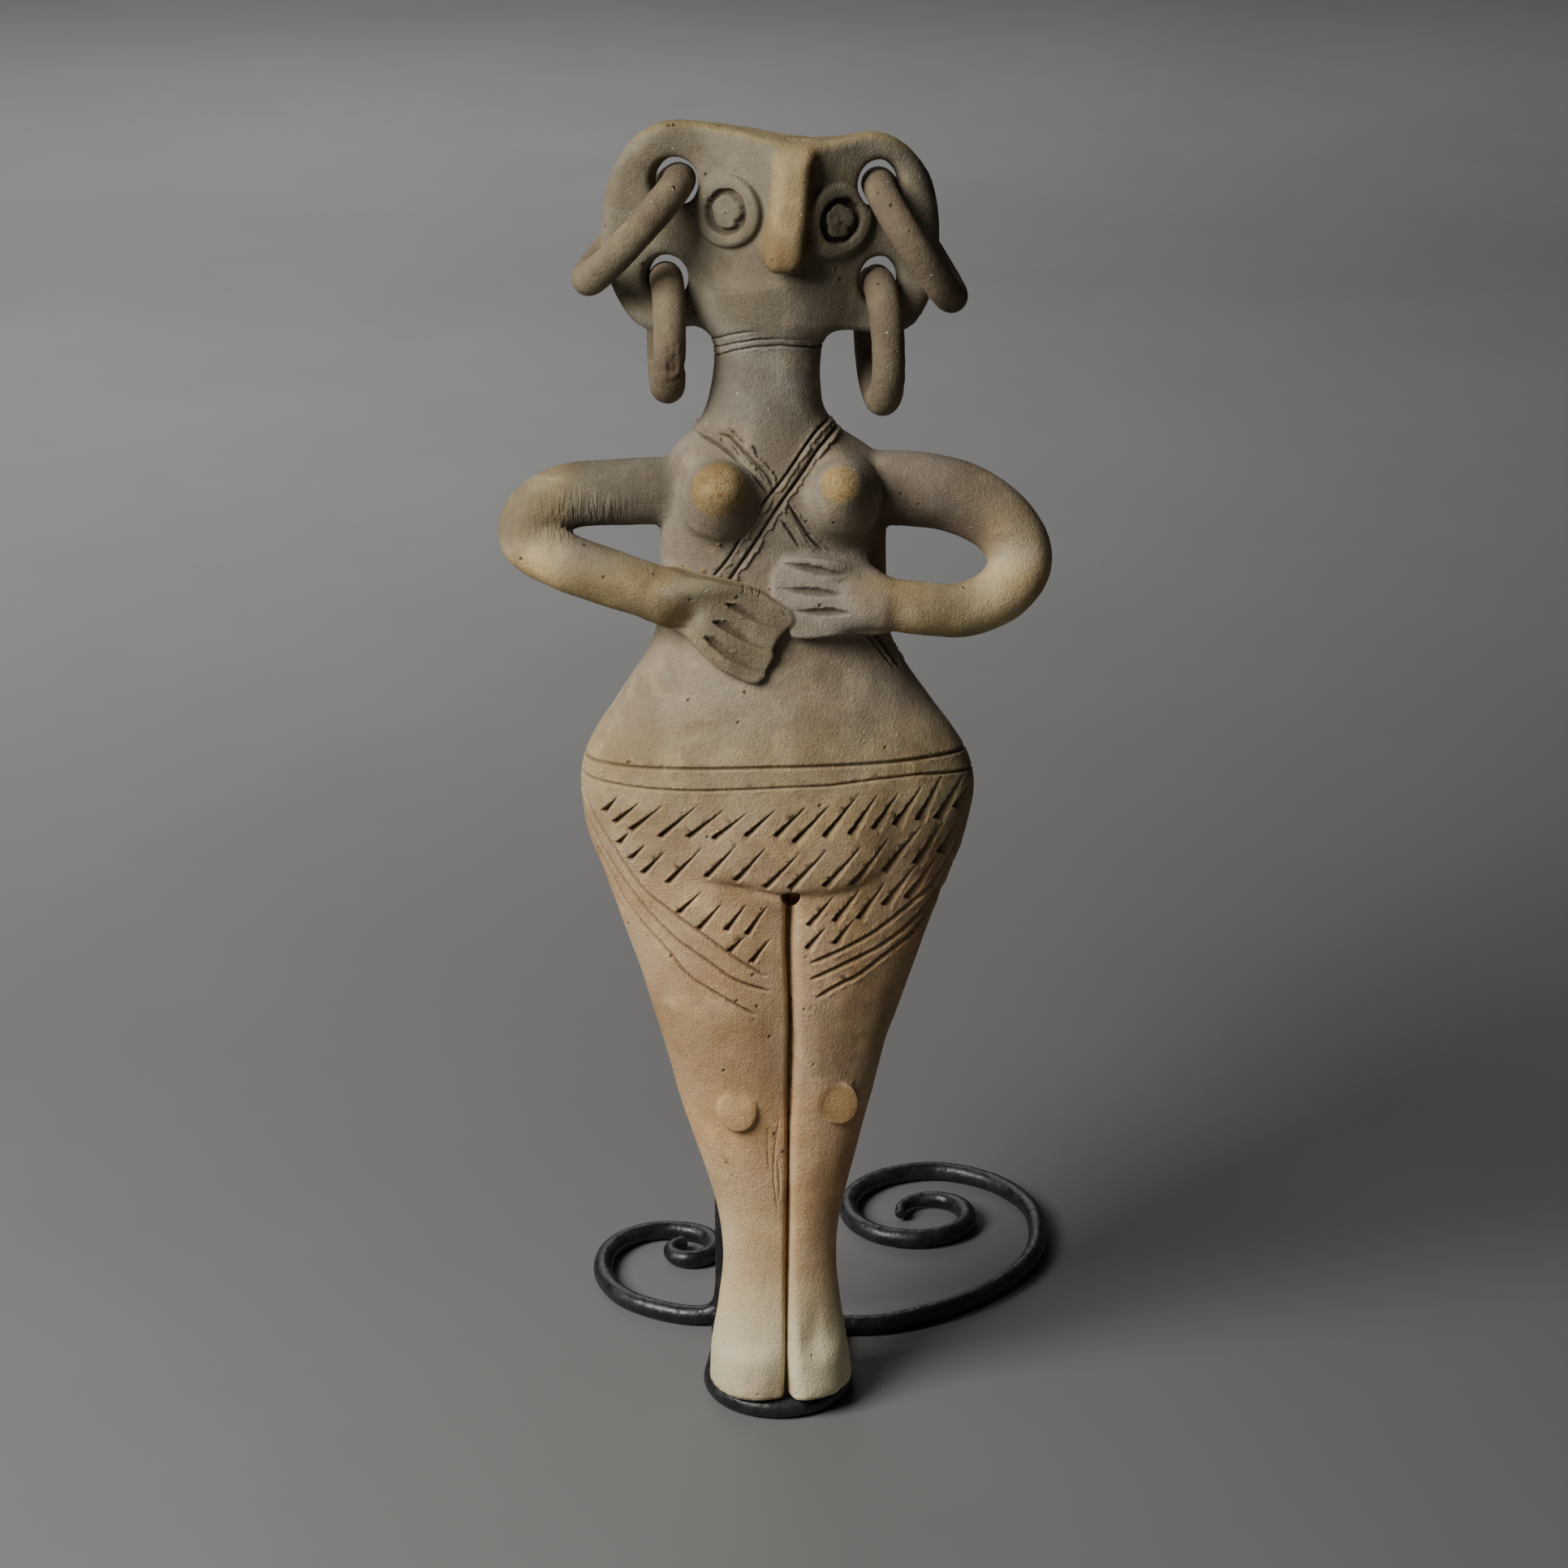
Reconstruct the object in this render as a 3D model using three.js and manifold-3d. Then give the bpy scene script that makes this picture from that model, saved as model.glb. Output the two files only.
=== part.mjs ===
// Clay figurine of the bird-faced goddess type, on a wrought-iron scroll stand.
// Millimetres, +Z up. The figure faces -Y and leans back; the floor is z = 0.
import * as THREE from 'three';
import { mergeVertices } from 'three/addons/utils/BufferGeometryUtils.js';
import Module from 'manifold-3d';

const wasm = await Module();
wasm.setup();

// Driving sizes of the figure, in its own frame: x to the viewer's right, y to the back, z up its axis.
const LEAN = THREE.MathUtils.degToRad(7);
const SOLE_HEIGHT = 6.3;
const FIGURE_FOOT = [0, 13, SOLE_HEIGHT];
const SECTION_SIDES = 24;
const SQUARENESS = 2.4;
const SLIVER = 0.08;
const GAP = 0.3;

// Driving sizes of the head.
const EAR_HALF = 4;
const EAR_EDGE = 3.5;
const FACE_DEPTH = 17;
const FACE_SLOPE = 0.64;
const NOSE_X = 3;
const NOSE_HALF_WIDTH = 4.5;
const BACK_OF_HEAD = 8;

// Driving sizes of the stand.
const ROD = 6;
const ROD_SIDES = 8;
const POST_X = -16.2;
const REST_HEIGHT = 218;
const REST_END_X = 18;

// The trunk at the heights where its outline turns:
// height, then how far it reaches left, right, forward and back of the axis.
const TRUNK = [
  [-9, 19.7, 22.3, 14.2, 12.0],
  [3, 19.7, 22.2, 14.2, 12.0],
  [13, 19.4, 21.0, 13.6, 11.8],
  [26, 17.4, 18.9, 11.6, 11.2],
  [39, 16.2, 17.7, 11.0, 11.2],
  [52, 17.2, 18.9, 12.0, 11.8],
  [66, 21.0, 21.7, 13.4, 12.6],
  [88, 28.0, 27.6, 15.2, 13.8],
  [111, 34.7, 33.5, 17.6, 15.6],
  [134, 41.8, 41.3, 20.0, 17.6],
  [156, 49.2, 49.7, 22.6, 20.0],
  [171, 54.8, 54.8, 25.0, 21.6],
  [183, 56.9, 57.4, 26.0, 22.0],
  [192, 56.4, 56.3, 26.0, 22.0],
  [200, 53.3, 52.3, 25.6, 21.2],
  [211, 46.0, 44.1, 24.0, 19.8],
  [223, 38.4, 36.2, 22.0, 18.4],
  [232, 34.9, 32.2, 20.8, 17.7],
  [246, 33.9, 31.6, 20.2, 17.8],
  [262, 33.5, 31.5, 20.0, 18.6],
  [276, 32.6, 31.0, 19.2, 18.6],
  [283, 30.2, 27.4, 17.8, 17.8],
  [289, 24.4, 18.8, 16.2, 16.2],
  [295, 20.8, 14.0, 14.6, 14.6],
  [303, 18.6, 12.7, 13.0, 13.4],
  [311, 17.8, 12.9, 12.6, 13.0],
  [317, 18.6, 13.8, 13.2, 12.8],
  [326, 21.0, 17.0, 14.0, 12.0],
];

// Heights at which the trunk's skin has a row of corners.
const SECTION_HEIGHTS = [-9, 7, 24, 40, 66, 100, 134, 158, 172, 183, 202,
  212, 223, 232, 262, 276, 283, 289, 296, 304, 317, 326];

// Incised lines that run right round: height, depth of cut, half width, rise at the front.
const RINGED_LINES = [
  [189.3, 1.0, 1.1, 0.4],
  [195.4, 1.0, 1.1, 0.6],
  [308.9, 0.8, 0.8, 4.2],
  [311.3, 0.8, 0.8, 4.6],
  [313.7, 0.8, 0.8, 5.0],
];

function cubic(stations, height, column) {
  let i = 0;
  while (i < stations.length - 2 && stations[i + 1][0] < height) i += 1;
  const slope = (k) => {
    const below = stations[Math.max(k - 1, 0)];
    const above = stations[Math.min(k + 1, stations.length - 1)];
    return (above[column] - below[column]) / (above[0] - below[0]);
  };
  const step = stations[i + 1][0] - stations[i][0];
  const t = Math.min(Math.max((height - stations[i][0]) / step, 0), 1);
  const [a, b] = [stations[i][column], stations[i + 1][column]];
  const [ma, mb] = [slope(i) * step, slope(i + 1) * step];
  const [t2, t3] = [t * t, t * t * t];
  return (2 * t3 - 3 * t2 + 1) * a + (t3 - 2 * t2 + t) * ma
    + (3 * t2 - 2 * t3) * b + (t3 - t2) * mb;
}

// Half width, centre, front and back depth of the trunk at a height.
function trunkAt(height) {
  const [left, right, front, back] = [1, 2, 3, 4].map((column) => cubic(TRUNK, height, column));
  return { centre: (right - left) / 2, half: (right + left) / 2, front, back };
}

// Depth of the trunk's skin at a place on its front (side = -1) or its back (side = 1).
function skin(x, height, side = -1) {
  const { centre, half, front, back } = trunkAt(height);
  const across = Math.min(Math.abs(x - centre) / half, 0.999);
  return side * (side < 0 ? front : back) * (1 - across ** SQUARENESS) ** (1 / SQUARENESS);
}

function solidOf(geometry) {
  const bare = new THREE.BufferGeometry();
  bare.setAttribute('position', geometry.getAttribute('position').clone());
  if (geometry.index) bare.setIndex(geometry.index);
  const merged = mergeVertices(bare, 1e-4);
  const solid = new wasm.Manifold(new wasm.Mesh({
    numProp: 3,
    vertProperties: new Float32Array(merged.getAttribute('position').array),
    triVerts: new Uint32Array(merged.index.array),
  }));
  return solid.volume() < 0 ? solidOf(turned(merged)) : solid;
}

function turned(geometry) {
  const index = geometry.index.array;
  for (let i = 0; i < index.length; i += 3) [index[i], index[i + 1]] = [index[i + 1], index[i]];
  return geometry;
}

function geometryOf(solid) {
  const { vertProperties, triVerts } = solid.getMesh();
  const geometry = new THREE.BufferGeometry();
  geometry.setAttribute('position', new THREE.BufferAttribute(new Float32Array(vertProperties), 3));
  geometry.setIndex(new THREE.BufferAttribute(new Uint32Array(triVerts), 1));
  geometry.computeVertexNormals();
  return geometry;
}

// A closed skin over rings of points, each ring the same length, with a flat fan at both ends.
function loft(rings) {
  const sides = rings[0].length;
  const points = rings.flat();
  const faces = [];
  for (let i = 0; i < rings.length - 1; i += 1) {
    for (let j = 0; j < sides; j += 1) {
      const k = (j + 1) % sides;
      const [a, b, c, d] = [i * sides + j, i * sides + k, (i + 1) * sides + k, (i + 1) * sides + j];
      faces.push(a, b, c, a, c, d);
    }
  }
  for (const [row, flip] of [[0, true], [rings.length - 1, false]]) {
    const middle = points.length;
    const ring = rings[row];
    points.push([0, 1, 2].map((axis) => ring.reduce((sum, p) => sum + p[axis], 0) / sides));
    for (let j = 0; j < sides; j += 1) {
      const [a, b] = [row * sides + j, row * sides + ((j + 1) % sides)];
      if (flip) faces.push(middle, b, a);
      else faces.push(middle, a, b);
    }
  }
  const geometry = new THREE.BufferGeometry();
  geometry.setAttribute('position', new THREE.Float32BufferAttribute(points.flat(), 3));
  geometry.setIndex(faces);
  return solidOf(geometry);
}

// A round or flattened bar along a path: each knot is x, y, z, radius across and radius in depth.
function bar(knots, sides, steps) {
  const curve = new THREE.CatmullRomCurve3(knots.map((k) => new THREE.Vector3(k[0], k[1], k[2])));
  const spans = knots.length - 1;
  const rings = [];
  for (let i = 0; i <= steps; i += 1) {
    const t = i / steps;
    const place = curve.getPoint(t);
    const along = curve.getTangent(t);
    const span = Math.min(Math.floor(t * spans), spans - 1);
    const part = t * spans - span;
    const radius = (n) => knots[span][n] * (1 - part) + knots[span + 1][n] * part;
    const across = new THREE.Vector3(along.z, 0, -along.x).normalize();
    const deep = new THREE.Vector3().crossVectors(along, across).normalize();
    const ring = [];
    for (let j = 0; j < sides; j += 1) {
      const angle = (2 * Math.PI * j) / sides;
      const point = place.clone()
        .addScaledVector(across, radius(3) * Math.cos(angle))
        .addScaledVector(deep, radius(4) * Math.sin(angle));
      ring.push(point.toArray());
    }
    rings.push(ring);
  }
  return loft(rings);
}

function joined(solids) {
  return solids.reduce((sum, solid) => sum.add(solid));
}

// Trunk, legs and neck as one loft, with the lines that run right round as notches in it.
function trunk() {
  const rows = SECTION_HEIGHTS.map((height) => [height, 0, 0]);
  for (const [height, cut, half, rise] of RINGED_LINES) {
    rows.push([height - half, 0, rise], [height, cut, rise], [height + half, 0, rise]);
  }
  rows.sort((a, b) => a[0] - b[0]);
  return loft(rows.map(([height, cut, rise]) => sectionRing(height, cut, rise)));
}

function sectionRing(height, cut, rise) {
  const ring = [];
  for (let j = 0; j < SECTION_SIDES; j += 1) {
    const angle = (2 * Math.PI * j) / SECTION_SIDES;
    const [c, s] = [Math.cos(angle), Math.sin(angle)];
    const lift = rise * Math.max(-s, 0) ** 2;
    const { centre, half, front, back } = trunkAt(height + lift);
    const power = 2 / SQUARENESS;
    const x = centre + (half - cut) * Math.sign(c) * Math.abs(c) ** power;
    const depth = (s < 0 ? front : back) - cut;
    ring.push([x, depth * Math.sign(s) * Math.abs(s) ** power, height + lift]);
  }
  return ring;
}

// The head with its ears, from the left ear to the right one: x, then the heights of its lower and upper edge.
const HEAD = [
  [-49.7, 340.5, 347.5], [-49.2, 336, 354.5], [-47.4, 331.5, 361.5], [-44, 324, 368], [-39, 319.4, 373.8],
  [-32, 317.8, 377], [-24, 319.6, 377.3], [-14, 320.4, 376.2], [-3, 320.4, 374.4], [10, 319.8, 372.4],
  [19, 318.8, 373.2], [27, 317.6, 374.5], [34, 317.4, 372.4], [39.4, 319.8, 368], [43, 325.4, 362.8],
  [45.2, 331.6, 356.4], [46.2, 337, 350], [46.5, 341, 346],
];

// How far the face stands forward: a keel at the nose whose two sides fall back to the ears.
function faceDepth(x, height) {
  const off = Math.max(Math.abs(x - NOSE_X) - NOSE_HALF_WIDTH, 0);
  const keel = Math.max(FACE_DEPTH - EAR_HALF - FACE_SLOPE * off, 0);
  const waning = 1 - 0.0016 * Math.max(height - 364, 0) ** 1.6 - 0.00055 * Math.max(338 - height, 0) ** 2;
  return EAR_HALF + keel * waning;
}

function backDepth(x) {
  return EAR_HALF + (BACK_OF_HEAD - EAR_HALF) * Math.exp(-(((x + 1) / 19) ** 2));
}

// The ears turn back towards their outer rims.
function earBend(x) {
  return 0.012 * Math.max(Math.abs(x + 1.5) - 28, 0) ** 2;
}

// One closed ring of the head at a given x: up the face side with rounded edges, then down the back.
function headRing(x, low, high) {
  const ring = [];
  const place = (t, side) => {
    const height = low + (high - low) * t;
    const edge = Math.min(t, 1 - t) * (high - low);
    const round = edge >= EAR_EDGE ? 1 : Math.sqrt(Math.max(1 - (1 - edge / EAR_EDGE) ** 2, 0));
    const end = Math.min((x - HEAD[0][0]) / EAR_EDGE, (HEAD[HEAD.length - 1][0] - x) / EAR_EDGE, 1);
    const thin = Math.sqrt(Math.max(1 - (1 - Math.max(end, 0.12)) ** 2, 0));
    const depth = side < 0 ? -faceDepth(x, height) : backDepth(x);
    return [x, earBend(x) + depth * Math.min(round, thin), height];
  };
  const climb = [0, 0.03, 0.1, 0.24, 0.42, 0.6, 0.78, 0.92, 0.98, 1];
  for (const t of climb) ring.push(place(t, -1));
  for (const t of [0.97, 0.88, 0.5, 0.12, 0.03]) ring.push(place(t, 1));
  return ring;
}

function head() {
  return loft(HEAD.map(([x, low, high]) => headRing(x, low, high)));
}

// Ear holes: x, height and radius.
const EAR_HOLES = [
  [-28.4, 360.4, 7.2],
  [-31.4, 333, 6.8],
  [28.6, 359.6, 7],
  [28.8, 332.4, 7],
];

function earHoles() {
  return joined(EAR_HOLES.map(([x, z, radius]) => {
    const drill = new THREE.CylinderGeometry(radius, radius, 60, 16);
    drill.translate(x, 0, z);
    return solidOf(drill);
  }));
}

function nose() {
  return bar([
    [4.0, -9, 369.6, 4.6, 3.6],
    [3.8, -14.4, 364, 4.9, 4.6],
    [3.0, -18.4, 352.6, 4.7, 4.8],
    [1.8, -20.6, 344, 5.2, 4.8],
    [1.4, -17.6, 338.4, 4.6, 3.8],
    [1.8, -12, 334, 4, 3.4],
  ], 8, 6);
}

function eye(x, z, side) {
  const ring = new THREE.TorusGeometry(8.6, 2.4, 5, 16);
  const pellet = new THREE.SphereGeometry(4.6, 9, 4).scale(1, 1, 0.5);
  const face = new THREE.Matrix4().makeRotationX(Math.PI / 2);
  const turn = new THREE.Matrix4().makeRotationZ(side * Math.atan(FACE_SLOPE));
  const place = new THREE.Matrix4().makeTranslation(x, 0.4 - faceDepth(x, z), z);
  const all = place.multiply(turn).multiply(face);
  return solidOf(ring.applyMatrix4(all)).add(solidOf(pellet.applyMatrix4(all)));
}

// Arms, from the shoulder round the elbow to the wrist.
const LEFT_ARM = [
  [-26, 0, 271.4, 10, 10], [-46, 0, 271, 9.7, 9.7], [-60, 0, 269.6, 9.6, 9.6], [-69.4, -1.4, 264.4, 9.2, 9.2],
  [-70.4, -4.6, 257.4, 8.7, 8.8], [-61, -9, 251.6, 8.5, 8.6], [-46, -14.5, 247.4, 8.1, 8.2],
  [-34, -18.5, 243.6, 7.8, 7.4], [-22, -20.5, 239.4, 8.4, 5.6],
];
const RIGHT_ARM = [
  [24, 0, 272.4, 10.8, 10.8], [40, 0, 271.8, 10.6, 10.6], [53, 0, 269.2, 10.3, 10.3],
  [64.4, -1.6, 262.6, 9.8, 9.8], [70, -4.6, 252.4, 9.2, 9.2], [64.6, -8.6, 243.4, 8.4, 8.4],
  [54, -13, 239.4, 7.7, 7.8], [42, -17.4, 240.2, 7.5, 7.2], [30, -20.2, 243, 8.2, 5.4],
];

// Hands: outline in x and height, and the depth at which the back of each hand stands.
const RIGHT_HAND = [[34, 250], [24, 254.4], [10, 257.9], [3.6, 256.8], [-0.5, 251.6],
  [0.2, 244], [2.2, 237.6], [6, 233.8], [21, 234.4], [33, 236]];
const LEFT_HAND = [[-26, 249], [-12, 248.2], [-3.6, 244.8], [3.4, 240], [4.6, 236.6],
  [-1, 229.4], [-4, 220.9], [-12.6, 222.4], [-20.4, 228.6], [-27, 235]];
const RIGHT_HAND_FRONT = -23.4;
const LEFT_HAND_FRONT = -24.6;
const PALM = -14;
const HAND_BEVEL = { bevelThickness: 1.2, bevelSize: 1, bevelOffset: -1, bevelSegments: 2 };

function hand(outline, front) {
  const shape = new THREE.Shape(outline.map(([x, z]) => new THREE.Vector2(x, z)));
  const slab = new THREE.ExtrudeGeometry(shape, { depth: PALM - front - 2.4, steps: 1, ...HAND_BEVEL });
  slab.rotateX(Math.PI / 2);
  slab.translate(0, PALM - 1.2, 0);
  return solidOf(slab);
}

// Fingers are parted by straight incised lines in x and height.
const RIGHT_FINGER_LINES = [
  [[1, 253.4], [19, 251]],
  [[-2, 247.8], [19.6, 246.5]],
  [[-1, 241.6], [20.2, 242.3]],
];
const LEFT_FINGER_LINES = [
  [[-15.5, 244.4], [0.4, 235.2]],
  [[-18.3, 239.2], [-1.8, 228.2]],
  [[-20.8, 234], [-3.4, 223.4]],
];

// The cone's foot sits on the chest and its tip points forward and a little up.
function breast(x, z) {
  const profile = [[0, -4], [11.4, -4], [10.8, 1], [8.4, 5.4], [5.2, 10.2], [2.6, 13.2], [0, 14.2]];
  const cone = new THREE.LatheGeometry(profile.map(([r, h]) => new THREE.Vector2(r, h)), 14);
  cone.rotateX(Math.PI - THREE.MathUtils.degToRad(16));
  cone.translate(x, skin(x, z), z);
  return solidOf(cone);
}

function kneePellet(x, z) {
  const disc = new THREE.CylinderGeometry(5.6, 4.8, 3, 16);
  disc.translate(x, skin(x, z) + 0.4, z);
  return solidOf(disc);
}

// A V groove of a given half width along points of x and height on the front skin.
function groove(points, half, depthAt = (x, z) => skin(x, z)) {
  const curve = new THREE.CatmullRomCurve3(points.map(([x, z]) => new THREE.Vector3(x, 0, z)));
  const steps = Math.max(1, Math.round(curve.getLength() / 16));
  const rings = [];
  for (let i = 0; i <= steps; i += 1) {
    const { x, z } = curve.getPoint(i / steps);
    const along = curve.getTangent(i / steps);
    const y = depthAt(x, z);
    const [nx, nz] = [along.z * half, -along.x * half];
    rings.push([[x - 2 * nx, y - half, z - 2 * nz], [x + 2 * nx, y - half, z + 2 * nz], [x, y + half, z]]);
  }
  return loft(rings);
}

// Chest bands: two lines over each shoulder that cross between the breasts.
const CHEST_LINES = [
  [[15.7, 293.3], [3, 277.7], [-17.8, 249.7]],
  [[19, 292], [6.5, 276.3], [-13.5, 248.3]],
  [[-18.6, 290.4], [-4, 276.8], [10, 256.8]],
  [[-13.4, 292.2], [1, 275], [14, 257.4]],
  [[27.4, 233], [36, 220.4]],
];

// Crossed thigh lines: three on each side, each falling from the hip to the leg cleft.
const THIGH_LINES = [
  [[-54, 181], [-37.8, 155.9], [-3.1, 131.2]],
  [[-50.6, 167], [-36.9, 150], [-2.4, 126.4]],
  [[-47, 156], [-26.9, 132.6], [-5.4, 119.5]],
  [[9.7, 135.6], [33.2, 147.6], [51, 162.6]],
  [[10.2, 130.4], [28, 138], [45, 149.6]],
  [[11.8, 124.9], [28, 133], [43.4, 142]],
];

// Rows of dashes below the belt: first and last foot in x and height, sag, count, run and rise of a dash.
const DASH_ROWS = [
  { from: [-49.6, 179.4], to: [50.6, 180.6], sag: 4.6, count: 16, run: 9.4, rise: 8.8 },
  { from: [-45.6, 168.6], to: [46.6, 167], sag: 7.2, count: 13, run: 9.6, rise: 10 },
  { from: [-28.8, 150.4], to: [-9, 144.6], sag: 0.6, count: 4, run: 6.6, rise: 7.8 },
  { from: [9, 147.2], to: [37.4, 154.2], sag: 0.6, count: 5, run: 8.4, rise: 10 },
  { from: [-14.4, 139.2], to: [-7.6, 136.4], sag: 0, count: 2, run: 5.5, rise: 5.8 },
  { from: [8.6, 140.3], to: [16.6, 141.7], sag: 0, count: 2, run: 5.5, rise: 6.4 },
];

// One dash is a narrow wedge: deep and blunt at its foot, thin and shallow at its upper end.
function dash(x0, z0, x1, z1) {
  const long = Math.hypot(x1 - x0, z1 - z0);
  const [ux, uz] = [(x1 - x0) / long, (z1 - z0) / long];
  const [nx, nz] = [uz * 1.5, -ux * 1.5];
  const [y0, y1] = [skin(x0, z0), skin(x1, z1)];
  const foot = [[x0 - nx, y0 - 1, z0 - nz], [x0 + nx, y0 - 1, z0 + nz], [x0, y0 + 2, z0]];
  const tip = [[x1 - nx / 4, y1 - 1, z1 - nz / 4], [x1 + nx / 4, y1 - 1, z1 + nz / 4], [x1, y1 + 0.1, z1]];
  return loft([foot, tip]);
}

function dashes() {
  const all = [];
  for (const { from, to, sag, count, run, rise } of DASH_ROWS) {
    for (let i = 0; i < count; i += 1) {
      const t = count > 1 ? i / (count - 1) : 0;
      const x = from[0] + (to[0] - from[0]) * t;
      const z = from[1] + (to[1] - from[1]) * t - sag * 4 * t * (1 - t);
      const narrowing = 1 - 0.45 * Math.abs(2 * t - 1) ** 3;
      all.push(dash(x, z, x + run * narrowing, z + rise * narrowing));
    }
  }
  return joined(all);
}

// The cleft between the legs: a steep left wall and a sloping right one, from the sole to the crotch.
function cleft(side, deep, top) {
  const rings = [];
  for (const z of [-12, 30, 80, 120, top]) {
    const y = skin(2.6, z, side);
    const open = side < 0 ? 2.4 + 2.6 * Math.max(z, 0) / top : 2;
    rings.push([[1.2, y + side * 2, z], [2.6 + open, y + side * 2, z], [2.5, y - side * deep, z]]);
  }
  return loft(rings);
}

function crotchHole() {
  const drill = new THREE.CylinderGeometry(1.7, 1.7, 12, 10);
  drill.translate(3.7, skin(3.7, 156.6) + 2, 156.6);
  return solidOf(drill);
}

const BELLY_FOLD = [[-18, 160.7], [1.2, 157], [14, 157.2], [31.4, 162.8]];

// Everything under the soles is cut off level, so the leaning figure stands flat.
function underSole() {
  const block = new THREE.BoxGeometry(120, 120, 40);
  block.translate(0, 0, -20);
  block.rotateX(LEAN);
  return solidOf(block);
}

function figureSolid() {
  const whole = joined([
    trunk(), head(), nose(), eye(-13.6, 353, -1), eye(18.4, 351, 1),
    bar(LEFT_ARM, 10, 14), bar(RIGHT_ARM, 10, 14),
    hand(RIGHT_HAND, RIGHT_HAND_FRONT), hand(LEFT_HAND, LEFT_HAND_FRONT),
    breast(-16, 273), breast(18.4, 273.4),
    kneePellet(-11.2, 88.1), kneePellet(19.1, 89.4),
  ]);
  const cuts = joined([
    earHoles(), dashes(), crotchHole(), cleft(-1, 7, 156), cleft(1, 4.5, 148),
    groove(BELLY_FOLD, 0.7),
    ...CHEST_LINES.map((line) => groove(line, 0.8)),
    ...THIGH_LINES.map((line) => groove(line, 0.7)),
    ...RIGHT_FINGER_LINES.map((line) => groove(line, 1, () => RIGHT_HAND_FRONT - 0.2)),
    ...LEFT_FINGER_LINES.map((line) => groove(line, 1, () => LEFT_HAND_FRONT - 0.2)),
    underSole(),
  ]);
  return whole.subtract(cuts).simplify(SLIVER);
}

// Ear rings: centre in x, y, z, the direction they hang, their yaw and their centreline radius.
const RING_TUBE = 4.8;
const EAR_RINGS = [
  { name: 'ear_ring_upper_left', centre: [-40.6, 1.4, 346.8], hang: [-0.68, -0.734], yaw: 0, radius: 19.2 },
  { name: 'ear_ring_lower_left', centre: [-31.4, 1, 317.1], hang: [0, -1], yaw: 5, radius: 15.5 },
  { name: 'ear_ring_upper_right', centre: [39.2, 1.4, 343.6], hang: [0.55, -0.835], yaw: 0, radius: 19.1 },
  { name: 'ear_ring_lower_right', centre: [29.2, 1, 315], hang: [0.04, -1], yaw: 8, radius: 17 },
];

function earRing({ centre, hang, yaw, radius }) {
  const ring = new THREE.TorusGeometry(radius, RING_TUBE, 8, 20);
  ring.rotateY(Math.PI / 2);
  ring.rotateZ(THREE.MathUtils.degToRad(yaw));
  ring.rotateY(-Math.atan2(hang[0], -hang[1]));
  ring.translate(...centre);
  return ring;
}

// The rod is an octagon with a flat side down, swept along its path.
function rod(points, steps) {
  const section = new THREE.Shape();
  const reach = ROD / 2 / Math.cos(Math.PI / ROD_SIDES);
  for (let i = 0; i < ROD_SIDES; i += 1) {
    const angle = (2 * Math.PI * (i + 0.5)) / ROD_SIDES;
    const place = [reach * Math.cos(angle), reach * Math.sin(angle)];
    if (i === 0) section.moveTo(...place);
    else section.lineTo(...place);
  }
  const path = new THREE.CatmullRomCurve3(points.map((p) => new THREE.Vector3(...p)), false, 'centripetal');
  path.arcLengthDivisions = 600;
  return new THREE.ExtrudeGeometry(section, { steps, extrudePath: path, bevelEnabled: false });
}

// Right scroll: it opens by quarter turns from its eye, then runs behind the heels and loops the feet.
function rightScrollPath() {
  const eyeOfScroll = [47, 131];
  const floor = ROD / 2;
  const points = [];
  for (let turn = 0; turn <= 6.4; turn += 0.4) {
    const angle = THREE.MathUtils.degToRad(190 - 90 * turn);
    const radius = 7.5 + 2 * turn + 0.5 * turn * turn;
    points.push([eyeOfScroll[0] + radius * Math.cos(angle), eyeOfScroll[1] + radius * Math.sin(angle), floor]);
  }
  const run = [[80.7, 96], [71.8, 79.2], [58.7, 66.6], [43.3, 57.9], [30.7, 53.8], [18, 53.6],
    [4, 54.9], [-6, 56], [-12, 56.4], [-16.2, 55.6], [-17.4, 51.4], [-16.6, 44], [-17.6, 34]];
  const loopRadius = 19.5;
  for (let degree = 180; degree <= 360; degree += 22.5) {
    const angle = THREE.MathUtils.degToRad(degree);
    run.push([0.3 + loopRadius * Math.cos(angle), loopRadius + loopRadius * Math.sin(angle)]);
  }
  run.push([18.2, 33], [16.4, 42], [16, 50.2]);
  return [...points, ...run.map(([x, y]) => [x, y, floor])];
}

// Left scroll: from its eye outward, back to the post, then up to the rest bar. The post leans
// back by two millimetres, so that its foot stands against the other rod.
function leftScrollPath() {
  const floor = ROD / 2;
  const topY = FIGURE_FOOT[1] + backOfFigure(REST_HEIGHT) + GAP + ROD / 2;
  const footY = topY - 2;
  const scroll = [[-29.4, 109.6], [-33.2, 107.6], [-34, 102], [-30.4, 98], [-24.6, 98.2],
    [-20.4, 102.4], [-19.8, 109], [-23.4, 115.4], [-31, 118.4], [-40, 118], [-47.6, 113.4],
    [-53.3, 104.5], [-55, 93.2], [-53.1, 82], [-47.4, 71.4], [-39.5, 65.2],
    [-30, footY + 1], [-23.4, footY, floor + 0.1]];
  const upright = [[-19, footY, 3.9], [-16.8, footY, 7.4], [POST_X, footY, 13],
    [POST_X, footY + 0.4, 60], [POST_X, footY + 1.1, 130], [POST_X, topY, REST_HEIGHT - 8],
    [POST_X + 2.2, topY, REST_HEIGHT - 2.2], [POST_X + 8, topY, REST_HEIGHT],
    [REST_END_X, topY, REST_HEIGHT]];
  return [...scroll.map(([x, y, z = floor]) => [x, y, z]), ...upright];
}

// World depth of the figure's back at a height, behind its foot.
function backOfFigure(height) {
  const along = (height - SOLE_HEIGHT) / Math.cos(LEAN);
  return skin(0, along, 1) * Math.cos(LEAN) + along * Math.sin(LEAN);
}

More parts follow.
